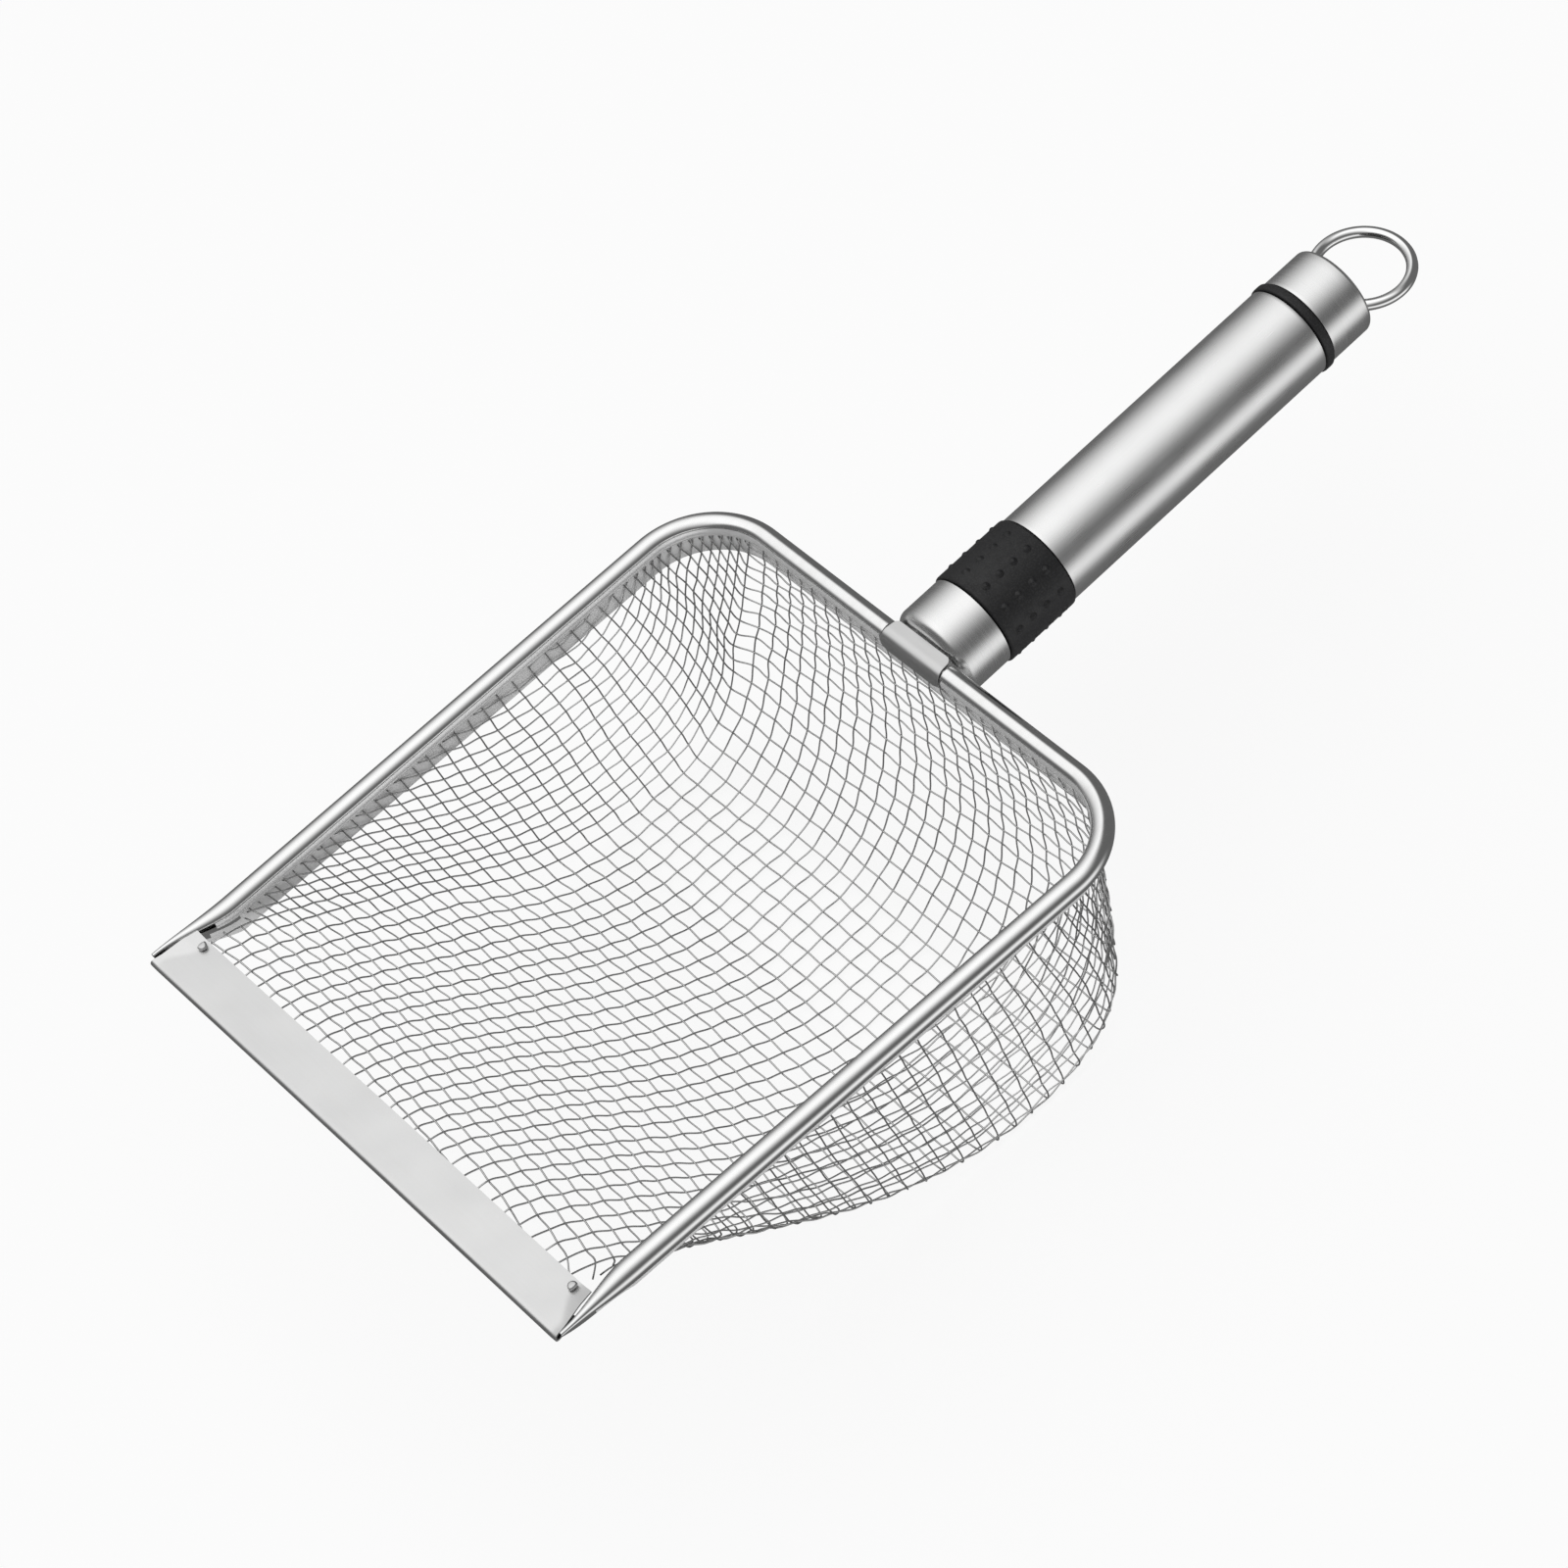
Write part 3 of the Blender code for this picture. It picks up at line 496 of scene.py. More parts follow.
def basket_edge(y):
    """Half width and height of the basket's edge at y. The edge dives under the bead near the front."""
    near_half, far_half = MESH_FRONT_HALF + EDGE_LOW_EXTRA, axis_half(EDGE_WIDE_Y) + MESH_Q
    if y < EDGE_DIVE_Y:
        return MESH_FRONT_HALF, MESH_FRONT_Z
    if y < EDGE_LOW_Y:
        share = (y - EDGE_DIVE_Y) / (EDGE_LOW_Y - EDGE_DIVE_Y)
        return (MESH_FRONT_HALF + (near_half - MESH_FRONT_HALF) * share,
                MESH_FRONT_Z + (MESH_EDGE_Z - MESH_FRONT_Z) * share)
    if y < EDGE_WIDE_Y:
        share = (y - EDGE_LOW_Y) / (EDGE_WIDE_Y - EDGE_LOW_Y)
        return near_half + (far_half - near_half) * share, MESH_EDGE_Z
    centre_x, centre_y, first = corner()[:3]
    if y < centre_y + CORNER_R * sin(first):
        return axis_half(y) + MESH_Q, MESH_EDGE_Z
    inner_r = CORNER_R + MESH_Q
    return centre_x + sqrt(max(0.0, inner_r ** 2 - (y - centre_y) ** 2)), MESH_EDGE_Z


def basket_point(y, place):
    """A point of the basket's middle surface. Place runs from -1 to 1 between the edges: a wall for its
    outer quarters, then a fold, and the floor for its inner half."""
    half, edge_z = basket_edge(y)
    depth = edge_z - basket_floor(y)
    fold = FOLD_R / (FOLD_R + abs(depth))
    foot = half - WALL_LEAN
    reach = abs(place)
    if reach > 0.75:
        down = (1.0 - reach) / 0.25
        x, z = half - WALL_LEAN * down, edge_z - depth * (1.0 - fold) * down
    elif reach > 0.5:
        angle = radians(90.0) * (0.75 - reach) / 0.25
        x, z = foot - FOLD_R * (1.0 - cos(angle)), edge_z - depth * (1.0 - fold + fold * sin(angle))
    else:
        x, z = (foot - FOLD_R) * reach / 0.5, edge_z - depth
    return Vector((x if place > 0.0 else -x, y, max(z, -BASE_DEPTH)))


def beyond(y, way):
    """A point past the basket's edge: outwards in front, upwards along the walls."""
    half, edge_z = basket_edge(y)
    up = min(1.0, max(0.0, (y - EDGE_DIVE_Y) / (EDGE_WIDE_Y - EDGE_DIVE_Y)))
    return Vector((way * (half + MARGIN * (1.0 - up)), y, edge_z + MARGIN * up))


def lay_surface():
    """The basket's surface as a fine grid with a margin, for finding the nearest place on it."""
    reach = REAR_Y + MESH_Q - DEEPEST_Y
    rows = [MESH_FRONT_Y - MARGIN]
    rows += [MESH_FRONT_Y + (RAMP_START_Y - MESH_FRONT_Y) * step / 4 for step in range(4)]
    rows += [RAMP_START_Y + (DEEPEST_Y - RAMP_START_Y) * (step / 150) ** 1.2 for step in range(151)]
    rows += [DEEPEST_Y + reach * sin(radians(90.0) * step / 70) for step in range(1, 71)]
    right = [step / 60 for step in range(1, 30)] + [0.5 + step / 80 for step in range(21)]
    right += [0.75 + step / 120 for step in range(1, 31)]
    places = [-place for place in reversed(right)] + [0.0] + right
    points = []
    for y in rows:
        points += [beyond(y, -1.0)] + [basket_point(y, place) for place in places] + [beyond(y, 1.0)]
    wide = len(places) + 2
    top = [point + Vector((0.0, 0.0, MARGIN)) for point in points[-wide:]]
    faces, inside = [], []
    for row in range(len(rows)):
        for place in range(wide - 1):
            first = row * wide + place
            faces.append((first, first + 1, first + wide + 1, first + wide))
            inside.append(row < len(rows) - 1 and rows[row] >= MESH_FRONT_Y and 0 < place < wide - 2)
    return BVHTree.FromPolygons(points + top, faces), inside


def pitch_at(place):
    """Spacing of the wires. The cloth is stretched where it was drawn down deep."""
    share = min(1.0, max(0.0, -place.z / STRETCHED_DEPTH))
    return FRONT_PITCH + (DEEP_PITCH - FRONT_PITCH) * share


def stepped(line):
    """Points one pitch apart along a polyline, from its start."""
    made, wanted, walked = [], 0.0, 0.0
    for first, second in zip(line, line[1:]):
        length = (second - first).length
        while length > 0.0 and wanted <= walked + length:
            made.append(first.lerp(second, (wanted - walked) / length))
            wanted += pitch_at(made[-1])
        walked += length
    return made


def settle(tree, guess, one, two):
    """The point of the surface that is one pitch from two neighbours, near the guess."""
    best = None
    pitch = pitch_at(guess)
    for _ in range(SETTLE_STEPS):
        place, normal, index = tree.find_nearest(guess)[:3]
        away_one, away_two = place - one, place - two
        long_one, long_two = away_one.length, away_two.length
        off_one, off_two = pitch - long_one, pitch - long_two
        miss = abs(off_one) + abs(off_two)
        if best is None or miss < best[0]:
            best = (miss, place, normal, index)
        if miss < 1e-3:
            break
        slope_one = away_one / long_one
        slope_two = away_two / long_two
        slope_one -= normal * slope_one.dot(normal)
        slope_two -= normal * slope_two.dot(normal)
        a, b, c = slope_one.dot(slope_one), slope_one.dot(slope_two), slope_two.dot(slope_two)
        a += SETTLE_SOFTNESS
        c += SETTLE_SOFTNESS
        size = a * c - b * b
        move = slope_one * ((off_one * c - off_two * b) / size)
        move += slope_two * ((off_two * a - off_one * b) / size)
        if move.length > pitch * SETTLE_REACH:
            move *= pitch * SETTLE_REACH / move.length
        guess = place + move
    return best


def cross_wire(y, slack):
    """Crossings of one wire that runs across the basket at y, from the middle to past its right edge."""
    line = [basket_point(max(y, MESH_FRONT_Y), step / slack) for step in range(slack + 1)]
    line = [Vector((point.x, y, point.z)) for point in line]
    line.append(Vector((0.0, y - max(y, MESH_FRONT_Y), 0.0)) + beyond(max(y, MESH_FRONT_Y), 1.0))
    return stepped(line)


def bowed(guess):
    """Where a crossing of the evenly laid cloth was dragged to. Near the blade the wires across the basket
    bow away from it, most of all left of the middle. On the walls they lean back as they go down."""
    fade = 1.0 - min(1.0, max(0.0, (guess.y - BOW_FULL_Y) / (DEEPEST_Y - BOW_FULL_Y)))
    fade = fade * fade * (3.0 - 2.0 * fade)
    shift = BOW_SIZE * fade * (BOW_LIFT - (guess.x - BOW_X) ** 2)
    lean = WALL_DRAG_LEFT if guess.x < 0.0 else WALL_DRAG_RIGHT
    floor = basket_floor(guess.y)
    above = max(0.0, guess.z - max(floor, -BASE_DEPTH) - WALL_FOOT) if abs(guess.x) > WALL_NEAR_X else 0.0
    shift -= lean * above * (1.0 + WALL_DRAG_EASE * floor / DRAW_DEPTH)
    return guess + Vector((0.0, shift, 0.0))


def lay_net():
    """Where the wires cross: {(across, along): (place, normal, on the basket or past its edge)}."""
    tree, inside = lay_surface()
    slack = 600
    reach = REAR_Y + MESH_Q - DEEPEST_Y
    middle = [basket_point(DEEPEST_Y + reach * sin(radians(90.0) * step / slack), 0.0)
              for step in range(slack + 1)]
    middle.append(middle[-1] + Vector((0.0, 0.0, MARGIN)))
    back = stepped(middle)
    ramp = [basket_point(DEEPEST_Y + (MESH_FRONT_Y - DEEPEST_Y) * step / slack, 0.0)
            for step in range(slack + 1)]
    ramp.append(ramp[-1] - Vector((0.0, MARGIN, 0.0)))
    front = stepped(ramp)
    net = {}

    def add(key, guess):
        place, normal, index = tree.find_nearest(guess)[:3]
        net[key] = (place, normal, inside[index])

    for index, place in enumerate(back):
        add((0, index), place)
    for row, place in enumerate(front):
        for column, spot in enumerate(cross_wire(place.y, slack)):
            for way in (1, -1) if column else (1,):
                guess = Vector((way * spot.x, spot.y, spot.z))
                add((way * column, -row), bowed(guess))
    columns = max(key[0] for key in net)
    for way in (1, -1):
        for row in range(1, len(back) + 8):
            for column in range(1, columns + 10):
                key = (way * column, row)
                one = net.get((key[0] - way, row))
                two = net.get((key[0], row - 1))
                old = net.get((key[0] - way, row - 1))
                if one is None or two is None or old is None:
                    continue
                if not (one[2] or two[2] or old[2]):
                    continue
                place, normal, index = settle(tree, one[0] + two[0] - old[0], one[0], two[0])[1:]
                net[key] = (place, normal, inside[index])
    return net, tree, inside


def unevenness(place):
    """A small shift of a crossing, as hand-pressed cloth has, the same each run."""
    slow = noise.noise_vector(place * 0.035)
    quick = noise.noise_vector(place * 0.4 + Vector((50.0, 0.0, 0.0)))
    return slow * SLOW_WANDER + quick * QUICK_WANDER


def wire_runs(net, tree, inside, keys):
    """The stretches of one wire that lie on the basket: lists of (place, normal, over or under)."""
    crossings = [net.get(key) for key in keys]
    samples = []
    per_cell = 5
    for index in range(len(crossings) - 1):
        first, second = crossings[index], crossings[index + 1]
        if first is None or second is None:
            samples.append(None)
            continue
        before = crossings[index - 1] if index > 0 and crossings[index - 1] else None
        after = crossings[index + 2] if index + 2 < len(crossings) and crossings[index + 2] else None
        start, end = first[0], second[0]
        out_start = (end - before[0]) / 2 if before else end - start
        out_end = (after[0] - start) / 2 if after else end - start
        turn = 1.0 if (keys[index][0] + keys[index][1]) % 2 == 0 else -1.0
        for step in range(per_cell):
            t = step / per_cell
            t2, t3 = t * t, t * t * t
            place = (start * (2 * t3 - 3 * t2 + 1) + out_start * (t3 - 2 * t2 + t)
                     + end * (3 * t2 - 2 * t3) + out_end * (t3 - t2))
            normal = first[1].lerp(second[1], t).normalized()
            found = tree.find_nearest(place)
            if inside[found[2]]:
                samples.append((place, normal, turn * cos(pi * t)))
            else:
                samples.append(None)
    runs, run = [], []
    for sample in samples + [None]:
        if sample is None:
            if len(run) > 3:
                runs.append(run)
            run = []
        else:
            run.append(sample)
    return runs


def add_wire(points, faces, run, side):
    """A round wire along a run. side is 1 or -1, for the two sets of wires that pass over each other."""
    sides = 6
    lift = WIRE_R * 1.02
    path = [place + normal * (lift * side * wave) for place, normal, wave in run]
    first_point = len(points)
    for index, place in enumerate(path):
        before = path[max(0, index - 1)]
        after = path[min(len(path) - 1, index + 1)]
        along = (after - before).normalized()
        up = run[index][1]
        across = along.cross(up).normalized()
        up = across.cross(along)
        for step in range(sides):
            angle = 2.0 * pi * step / sides
            spot = place + up * (WIRE_R * cos(angle)) + across * (WIRE_R * sin(angle))
            points.append(world(*spot))
    for index in range(len(path) - 1):
        for step in range(sides):
            following = (step + 1) % sides
            first = first_point + index * sides
            faces.append((first + step, first + following, first + sides + following, first + sides + step))
    last = first_point + (len(path) - 1) * sides
    faces.append(tuple(first_point + step for step in range(sides)))
    faces.append(tuple(last + step for step in reversed(range(sides))))


def build_net():
    noise.seed_set(NET_SEED)
    net, tree, inside = lay_net()
    moved = {}
    for key, (place, normal, on_basket) in net.items():
        shift = unevenness(place)
        shift -= normal * shift.dot(normal)
        moved[key] = (place + shift, normal, on_basket)
    net = moved
    across = [key[0] for key in net]
    along = [key[1] for key in net]
    columns = range(min(across), max(across) + 1)
    rows = range(min(along), max(along) + 1)
    for name, side, wires in (
            ("wires_across", 1.0, [[(column, row) for column in columns] for row in rows]),
            ("wires_along", -1.0, [[(column, row) for row in rows] for column in columns])):
        points, faces = [], []
        for keys in wires:
            for run in wire_runs(net, tree, inside, keys):
                add_wire(points, faces, run, side)
        mesh = bpy.data.meshes.new(name)
        mesh.from_pydata(points, [], faces)
        mesh.shade_smooth()
        mesh.materials.append(WIRE_STEEL)
        piece = bpy.data.objects.new(name, mesh)
        bpy.context.scene.collection.objects.link(piece)
        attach(piece, SCOOP)
        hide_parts("mesh_basket")
        print(name, len(faces), "faces")


# ---------------------------------------------------------------- blade and fittings

def blade_half(y):
    return BLADE_HALF - BLADE_NARROWING * y


def dents(x, y, share):
    """Height of the blade's sheet against the flat: a slight crown, turned-up ends and shallow dents."""
    spot = Vector((x * 0.045, y * 0.08, 3.0))
    fine = Vector((x * 0.11, y * 0.15, 9.0))
    crown = 0.7 * (0.45 - share * share)
    crease = max(CREASE_INNER, CREASE_FRONT - CREASE_SLOPE * y)
    past = max(0.0, abs(x) - crease)
    ends = END_RISE * past * past / (past + 1.0)
    return crown + ends + 0.22 * noise.noise(spot) + 0.07 * noise.noise(fine)


def build_blade():
    upper = BLADE_TOP_Z - BLADE_SHEET / 2
    fold_y, fold_z = BLADE_FRONT_Y - HEM_FORWARD + HEM_R + BLADE_SHEET / 2, upper - HEM_R
    flat = [BLADE_INNER_Y - (BLADE_INNER_Y - fold_y) * step / 16 for step in range(16)]
    sides = []
    for offset in (BLADE_SHEET / 2, -BLADE_SHEET / 2):
        radius = HEM_R + offset
        line = [(y, fold_z + radius) for y in flat]
        line += arc(fold_y, fold_z, radius, 90.0, 270.0, 16)
        line += [(fold_y + (HEM_END_Y - fold_y) * step / 5, fold_z - radius) for step in range(1, 6)]
        sides.append(line)
    sides[1].reverse()
    loops = []
    count = 260
    for step in range(count + 1):
        share = 2.0 * step / count - 1.0
        loop = []
        for y, z in sides[0] + sides[1]:
            x = share * blade_half(y)
            loop.append(world(x, y, z + dents(x, max(2.0, y), share) * 0.8))
        loops.append(loop)
    points, faces = loft_loops(loops)
    make_piece("blade", points, faces, BLADE_STEEL, SCOOP, ["front_blade"])


def block(name, low, high, finish, replaces, bevel):
    """A small block of sheet with rounded edges."""
    shell = bmesh.new()
    bmesh.ops.create_cube(shell, size=1.0)
    bmesh.ops.subdivide_edges(shell, edges=shell.edges[:], cuts=3, use_grid_fill=True)
    low, high = Vector(low), Vector(high)
    for vertex in shell.verts:
        spot = Vector((0.5 + vertex.co.x, 0.5 + vertex.co.y, 0.5 + vertex.co.z))
        vertex.co = world(*(low + Vector(a * b for a, b in zip(spot, high - low))))
    mesh = bpy.data.meshes.new(name)
    shell.to_mesh(mesh)
    shell.free()
    mesh.shade_smooth()
    mesh.materials.append(finish)
    piece = bpy.data.objects.new(name, mesh)
    bpy.context.scene.collection.objects.link(piece)
    edge = piece.modifiers.new("edge", 'BEVEL')
    edge.width = bevel * MM
    edge.segments = 3
    edge.angle_limit = radians(40.0)
    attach(piece, SCOOP)
    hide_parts(*replaces)
    return piece


def build_blade_fittings():
    block("wire_strip", STRIP_LOW, STRIP_HIGH, BLADE_STEEL, ["blade_backing_strip"], 0.12)
    for word, way in (("left", -1.0), ("right", 1.0)):
        points, faces = [], []
        levels = ((1.0, 2.1), (1.0, 2.6), (0.86, 2.78), (0.6, 2.86))
        spokes = 28
        for size, z in levels:
            for spoke in range(spokes):
                angle = 2.0 * pi * spoke / spokes
                inward = cos(angle) < 0.0
                x = cos(angle) * (CLIP_INWARD if inward else CLIP_OUTWARD)
                y = CLIP_HALF * sin(angle) * (1.0 if inward else 1.12)
                y = max(-CLIP_HALF, min(CLIP_HALF, y))
                points.append(world(way * (CLIP_X + x * size), CLIP_Y + y * size, z))
        for level in range(len(levels) - 1):
            for spoke in range(spokes):
                following = (spoke + 1) % spokes
                here, above = level * spokes, (level + 1) * spokes
                faces.append((here + spoke, here + following, above + following, above + spoke))
        top = (len(levels) - 1) * spokes
        faces.append(tuple(top + spoke for spoke in range(spokes)))
        faces.append(tuple(reversed(range(spokes))))
        make_piece("corner_clip_" + word, points, faces, LAND_STEEL, SCOOP,
                   ["corner_tab_" + word])


def build_saddle():
    leg_y, tip_y = REAR_Y - SADDLE_REACH, REAR_Y + SADDLE_REACH
    flat_y, bend_z = leg_y + SADDLE_BEND, SADDLE_TOP_Z - SADDLE_BEND
    sides = []
    for offset in (SADDLE_HALF_SHEET, -SADDLE_HALF_SHEET):
        line = [(leg_y - offset, SADDLE_FOOT_Z + 0.45 * step) for step in range(5)]
        line += arc(flat_y, bend_z, SADDLE_BEND + offset, 180.0, 90.0, 12)
        line += [(flat_y + (tip_y - flat_y) * step / 8, SADDLE_TOP_Z + offset) for step in range(1, 9)]
        sides.append(line)
    sides[1].reverse()

    def half_width(y, z):
        """Rounded lower corners in front, wide at the bend, narrower towards the handle."""
        corner_loss = 2.2 * max(0.0, (-0.6 - z) / 1.5) ** 2
        back = min(1.0, max(0.0, (y - leg_y) / (tip_y - leg_y)))
        tip_loss = 1.1 * max(0.0, (y - (tip_y - 1.2)) / 1.2) ** 2
        return SADDLE_HALF_WIDTH - corner_loss - 0.6 * back - tip_loss

    loops = []
    count = 28
    for step in range(count + 1):
        share = 2.0 * step / count - 1.0
        loops.append([world(share * half_width(y, z), y, z) for y, z in sides[0] + sides[1]])
    points, faces = loft_loops(loops)
    saddle = make_piece("saddle", points, faces, LAND_STEEL, SCOOP, ["rim_saddle"], 45.0)
    edge = saddle.modifiers.new("edge", 'BEVEL')
    edge.width = 0.1 * MM
    edge.segments = 2
    edge.angle_limit = radians(50.0)


# ---------------------------------------------------------------- handle

def build_ferrule():
    inside, fillet = TUBE_R - CUP_WALL, 2.6
    floor = FERRULE_FRONT + CUP_WALL
    outline = [(0.01, floor), (9.0, floor), (10.7, floor + 0.9), (inside, floor + 2.4),
               (inside, FERRULE_REAR - 0.1), (inside + 0.1, FERRULE_REAR), (TUBE_R - 0.15, FERRULE_REAR),
               (TUBE_R, FERRULE_REAR - 0.15), (TUBE_R, 12.0), (TUBE_R, 8.0)]
    outline += arc(TUBE_R - fillet, FERRULE_FRONT + fillet, fillet, 0.0, -90.0, 12)
    outline += [(4.0, FERRULE_FRONT), (0.01, FERRULE_FRONT)]
    turned("handle_ferrule", outline, CAP_STEEL, ["ferrule"])


def build_collar():
    edge = 0.5
    outline = arc(COLLAR_R - edge, COLLAR_REAR - edge, edge, 90.0, 0.0, 4)
    outline += arc(COLLAR_R - edge, COLLAR_FRONT + edge, edge, 0.0, -90.0, 4)
    outline += [(COLLAR_BORE_R, COLLAR_FRONT), (COLLAR_BORE_R, COLLAR_REAR)]
    turned("collar", outline, COLLAR_RUBBER, ["grip_collar"], steps=160)
    first = (COLLAR_FRONT + COLLAR_REAR - BUMP_PITCH * (BUMPS_PER_ROW - 1)) / 2
    points, faces = [], []
    rings, spokes = 6, 20
    for row in range(BUMP_ROWS):
        turn = 2.0 * pi * (row + 0.5) / BUMP_ROWS
        for place in range(BUMPS_PER_ROW):
            start = len(points)
            along_middle = first + BUMP_PITCH * place
            for ring in range(rings + 1):
                share = ring / rings
                reach = BUMP_R * share
                height = BUMP_HEIGHT * (0.5 + 0.5 * cos(pi * min(1.0, share))) ** 0.8 - 0.03 * (share > 0.99)
                for spoke in range(spokes if ring else 1):
                    angle = 2.0 * pi * spoke / spokes
                    swing = turn + reach * cos(angle) / COLLAR_R
                    radius = COLLAR_R - 0.06 + height
                    points.append(on_handle(radius * sin(swing), radius * cos(swing),
                                            along_middle + reach * sin(angle)))
            for spoke in range(spokes):
                following = (spoke + 1) % spokes
                faces.append((start, start + 1 + spoke, start + 1 + following))
                for ring in range(1, rings):
                    here, out = start + 1 + (ring - 1) * spokes, start + 1 + ring * spokes
                    faces.append((here + spoke, out + spoke, out + following, here + following))
            base = start + 1 + (rings - 1) * spokes
            faces.append(tuple(base + spoke for spoke in range(spokes)))
    make_piece("collar_bumps", points, faces, COLLAR_RUBBER, SCOOP, ["grip_collar"], 80.0)


def build_tube_and_rings():
    inside = TUBE_R - TUBE_WALL
    tips = 0.2
    outline = [(inside, TUBE_FRONT), (inside, TUBE_REAR)]
    outline += arc(TUBE_R - tips, TUBE_REAR - tips, tips, 90.0, 0.0, 3)
    outline += [(TUBE_R, TUBE_REAR - 1.0), (TUBE_R, 90.0), (TUBE_R, 64.0), (TUBE_R, TUBE_FRONT + 1.0)]
    outline += arc(TUBE_R - tips, TUBE_FRONT + tips, tips, 0.0, -90.0, 3)
    turned("tube", outline, TUBE_STEEL, ["handle_tube"])
    edge = 0.45
    outline = arc(SEAL_R - edge, SEAL_REAR - edge, edge, 90.0, 0.0, 4)
    outline += arc(SEAL_R - edge, SEAL_FRONT + edge, edge, 0.0, -90.0, 4)
    outline += [(SEAL_BORE_R, SEAL_FRONT), (SEAL_BORE_R, SEAL_REAR)]
    turned("seal", outline, SEAL_RUBBER, ["seal_ring"])
    fillet = 1.1
    lip = CAP_R - fillet - 0.1
    outline = [(lip, CAP_REAR - 0.35), (lip + 0.06, CAP_REAR - 0.08), (lip + 0.2, CAP_REAR)]
    outline += arc(CAP_R - fillet, CAP_REAR - fillet, fillet, 90.0, 0.0, 8)
    outline += [(CAP_R, CAP_REAR - 3.0), (CAP_R, CAP_FRONT + 1.0)]
    outline += arc(CAP_R - 0.2, CAP_FRONT + 0.2, 0.2, 0.0, -90.0, 3)
    outline += [(CAP_R - CUP_WALL, CAP_FRONT), (CAP_R - CUP_WALL, CAP_REAR - 1.5), (lip, CAP_REAR - 1.0)]
    turned("cap", outline, CAP_STEEL, ["end_cap"])


def build_ring():
    curve = bpy.data.curves.new("ring", 'CURVE')
    curve.dimensions = '3D'
    curve.bevel_depth = RING_WIRE_R * MM
    curve.bevel_resolution = 7
    count = 120
    spline = curve.splines.new('POLY')
    spline.points.add(count - 1)
    for index, point in enumerate(spline.points):
        angle = 2.0 * pi * index / count
        across = RING_R * sin(angle)
        reach = RING_R * (1.0 - cos(angle))
        spot = on_handle(across, reach * sin(RING_DROOP), RING_PIVOT + reach * cos(RING_DROOP))
        point.co = (*spot, 1.0)
    spline.use_cyclic_u = True
    shape = bpy.data.objects.new("ring", curve)
    bpy.context.scene.collection.objects.link(shape)
    graph = bpy.context.evaluated_depsgraph_get()
    mesh = bpy.data.meshes.new_from_object(shape.evaluated_get(graph))
    bpy.data.objects.remove(shape, do_unlink=True)
    mesh.name = "ring"
    mesh.shade_smooth()
    mesh.materials.clear()
    mesh.materials.append(RING_STEEL)
    piece = bpy.data.objects.new("ring", mesh)
    bpy.context.scene.collection.objects.link(piece)
    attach(piece, LOOP)
    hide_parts("hanging_loop")


def finish_cad_nodes():
    """The pieces inside the handle stay as the CAD has them, with real finishes."""
    finishes = dict.fromkeys(("front_bush", "rear_bush", "loop_plug"), BUSH_PLASTIC)
    finishes.update(dict.fromkeys(("tie_rod", "tie_washer", "tie_nut"), ROD_STEEL))
    for node, finish in finishes.items():
        piece = frame["nodes"][node]
        if not piece.material_slots:
            piece.data.materials.append(finish)
        for place in piece.material_slots:
            place.material = finish
    plug = frame["nodes"]["loop_plug"]
    edge = plug.modifiers.new("edge", 'BEVEL')
    edge.width = 0.12 * MM
    edge.segments = 2
    edge.angle_limit = radians(40.0)


# ---------------------------------------------------------------- studio

def build_floor():
    size = FLOOR_HALF
    points = [(-size, -size, 0), (size, -size, 0), (size, size, 0), (-size, size, 0)]
    mesh = bpy.data.meshes.new("floor")
    mesh.from_pydata(points, [], [(0, 1, 2, 3)])
    mat, _, shader = new_material("floor_paper", 0.0, 0.9, (0.2, 0.2, 0.2))
    shader.inputs["Specular IOR Level"].default_value = 0.0
    shader.inputs["Emission Color"].default_value = (1.0, 1.0, 1.0, 1.0)
    shader.inputs["Emission Strength"].default_value = FLOOR_LIGHT
    mesh.materials.append(mat)
    floor = bpy.data.objects.new("floor", mesh)
    floor.location = (0.0, 0.0, -0.0002)
    bpy.context.scene.collection.objects.link(floor)
    floor.visible_glossy = False
    floor.visible_shadow = False


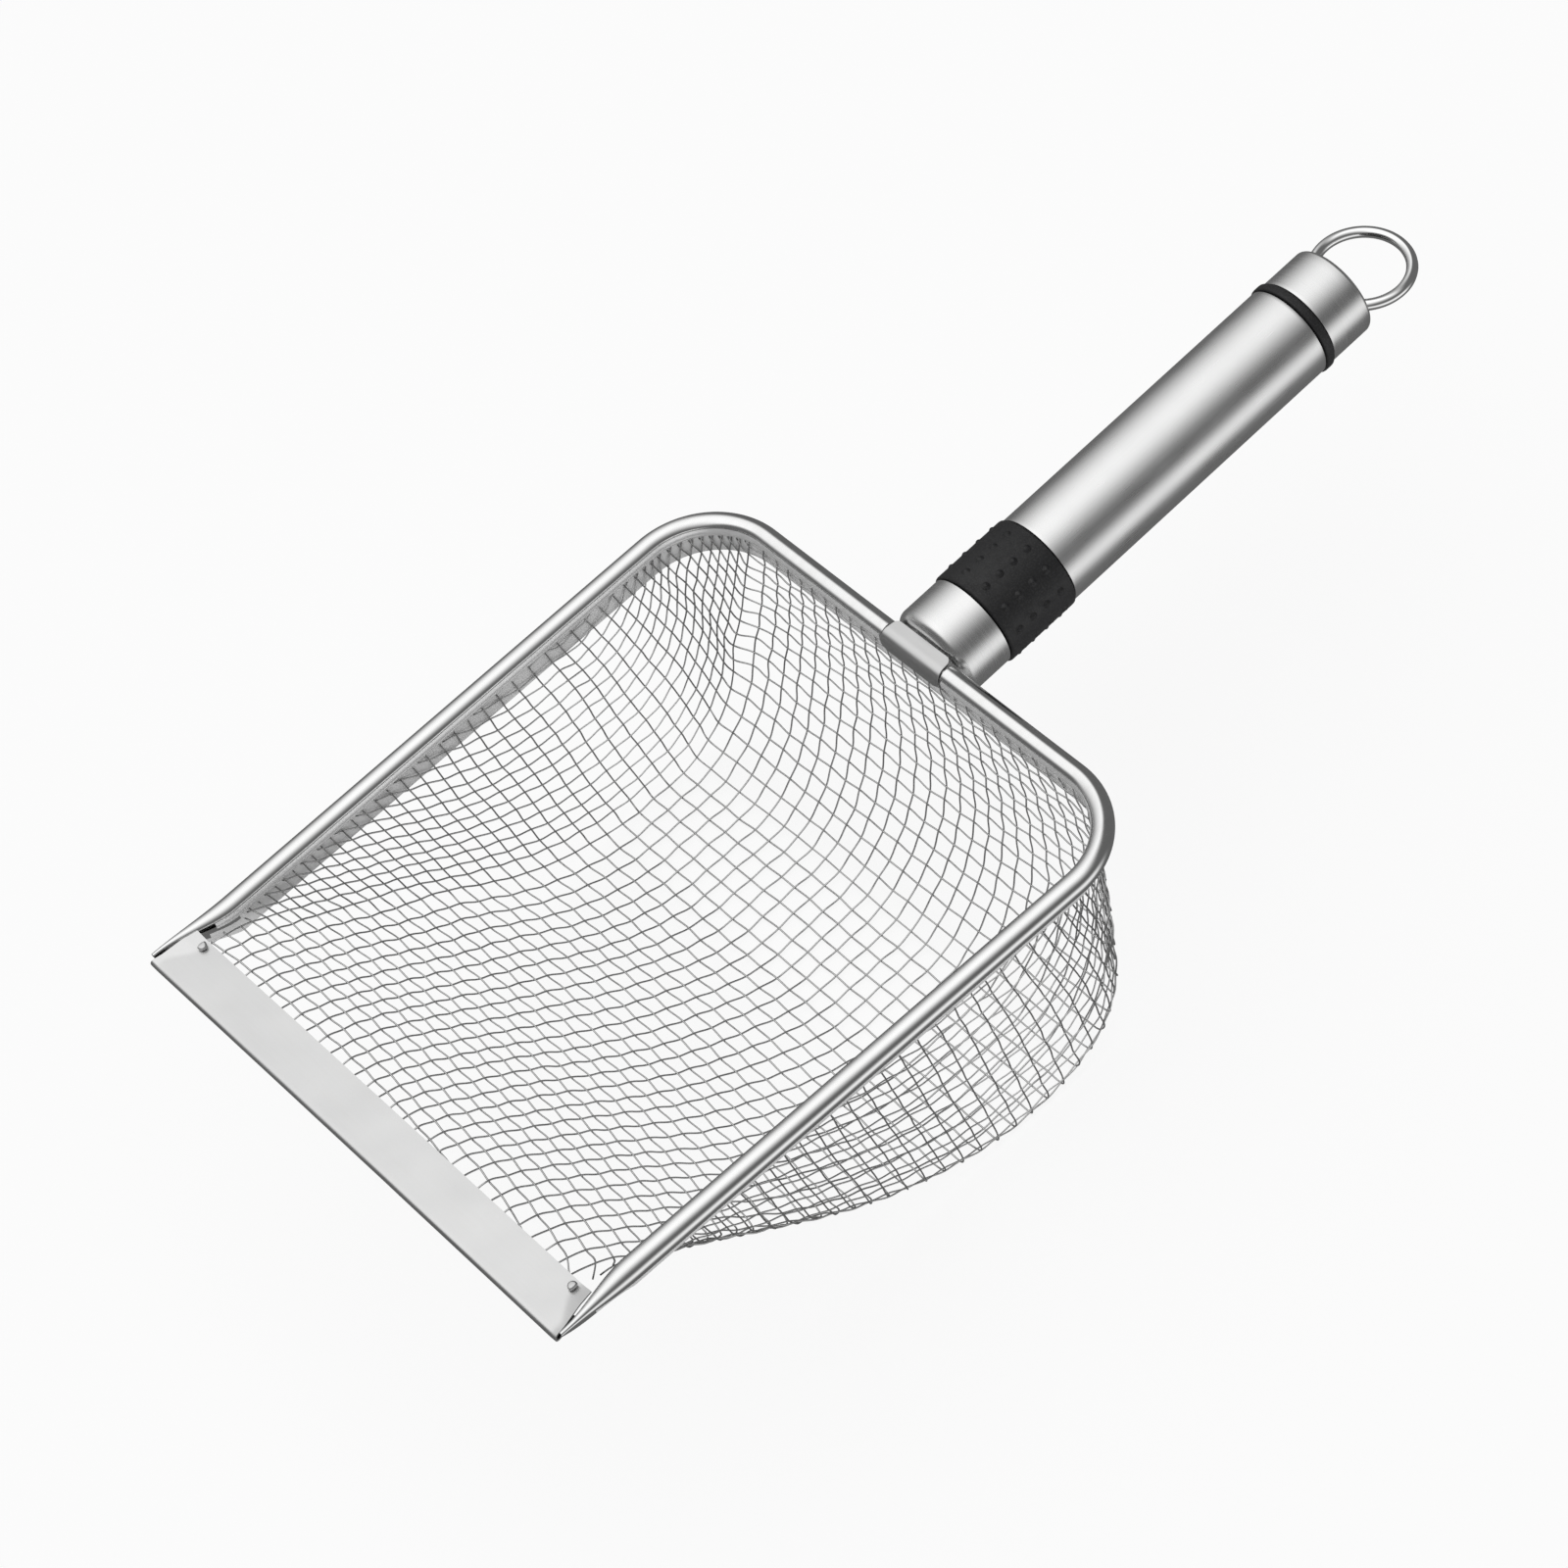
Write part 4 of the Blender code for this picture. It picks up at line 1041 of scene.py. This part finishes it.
class Sky:
    """The studio round the object, as nodes that work on the direction looked in."""

    def __init__(self, tree):
        self.tree = tree
        where = tree.nodes.new("ShaderNodeTexCoord")
        parts = tree.nodes.new("ShaderNodeSeparateXYZ")
        tree.links.new(where.outputs["Generated"], parts.inputs[0])
        self.x, self.y, self.z = parts.outputs
        self.turn = self.maths('ARCTAN2', self.x, self.z)

    def maths(self, operation, one, two):
        node = self.tree.nodes.new("ShaderNodeMath")
        node.operation = operation
        for socket, value in zip(node.inputs, (one, two)):
            if isinstance(value, (int, float)):
                socket.default_value = value
            else:
                self.tree.links.new(value, socket)
        return node.outputs[0]

    def rise(self, value, low, high):
        node = self.tree.nodes.new("ShaderNodeMapRange")
        node.interpolation_type = 'SMOOTHSTEP'
        node.inputs["From Min"].default_value, node.inputs["From Max"].default_value = low, high
        self.tree.links.new(value, node.inputs["Value"])
        return node.outputs["Result"]

    def window(self, value, low, low_full, high_full, high):
        return self.maths('MULTIPLY', self.rise(value, low, low_full), self.rise(value, high, high_full))

    def panel(self, turn, along, strength):
        """A soft panel: a range of angles round the sieve's length, and of directions along it."""
        turn = [radians(angle) for angle in turn]
        both = self.maths('MULTIPLY', self.window(self.turn, *turn), self.window(self.y, *along))
        return self.maths('MULTIPLY', both, strength)


def build_studio():
    sky = bpy.data.worlds.new("studio")
    bpy.context.scene.world = sky
    sky.use_nodes = True
    tree = sky.node_tree
    tree.nodes.clear()
    studio = Sky(tree)
    light = studio.maths('ADD', studio.panel(*KEY_PANEL), studio.panel(*SIDE_PANEL))
    light = studio.maths('ADD', light, FILL_LIGHT)
    seen = tree.nodes.new("ShaderNodeLightPath")
    mixed = tree.nodes.new("ShaderNodeMix")
    tree.links.new(seen.outputs["Is Camera Ray"], mixed.inputs["Factor"])
    tree.links.new(light, mixed.inputs["A"])
    mixed.inputs["B"].default_value = BACKDROP_LIGHT
    back = tree.nodes.new("ShaderNodeBackground")
    tree.links.new(mixed.outputs["Result"], back.inputs["Color"])
    out = tree.nodes.new("ShaderNodeOutputWorld")
    tree.links.new(back.outputs[0], out.inputs["Surface"])


def build_camera():
    """The photograph's camera, placed from the sieve frame."""
    lens = bpy.data.cameras.new("camera")
    lens.sensor_width = LENS_WIDTH
    lens.lens = LENS_LENGTH
    lens.clip_start = 0.01
    camera = bpy.data.objects.new("camera", lens)
    bpy.context.scene.collection.objects.link(camera)
    around, above, roll = CAMERA_AROUND, CAMERA_ABOVE, CAMERA_ROLL
    back = Vector((sin(around) * cos(above), -cos(around) * cos(above), sin(above)))
    level = Vector((cos(around), sin(around), 0.0))
    upright = back.cross(level)
    right = level * cos(roll) + upright * sin(roll)
    up = upright * cos(roll) - level * sin(roll)
    place = world(*(Vector(CAMERA_AIM) + back * CAMERA_DISTANCE))
    camera.matrix_world = Matrix(((right.x, up.x, back.x, place.x), (right.y, up.y, back.y, place.y),
                                  (right.z, up.z, back.z, place.z), (0.0, 0.0, 0.0, 1.0)))
    bpy.context.scene.camera = camera


build_camera()
build_studio()
build_floor()
build_rim()
build_clamp_lips()
build_net()
build_blade()
build_blade_fittings()
build_saddle()
build_ferrule()
build_collar()
build_tube_and_rings()
build_ring()
finish_cad_nodes()
bpy.context.scene.view_settings.view_transform = 'Standard'
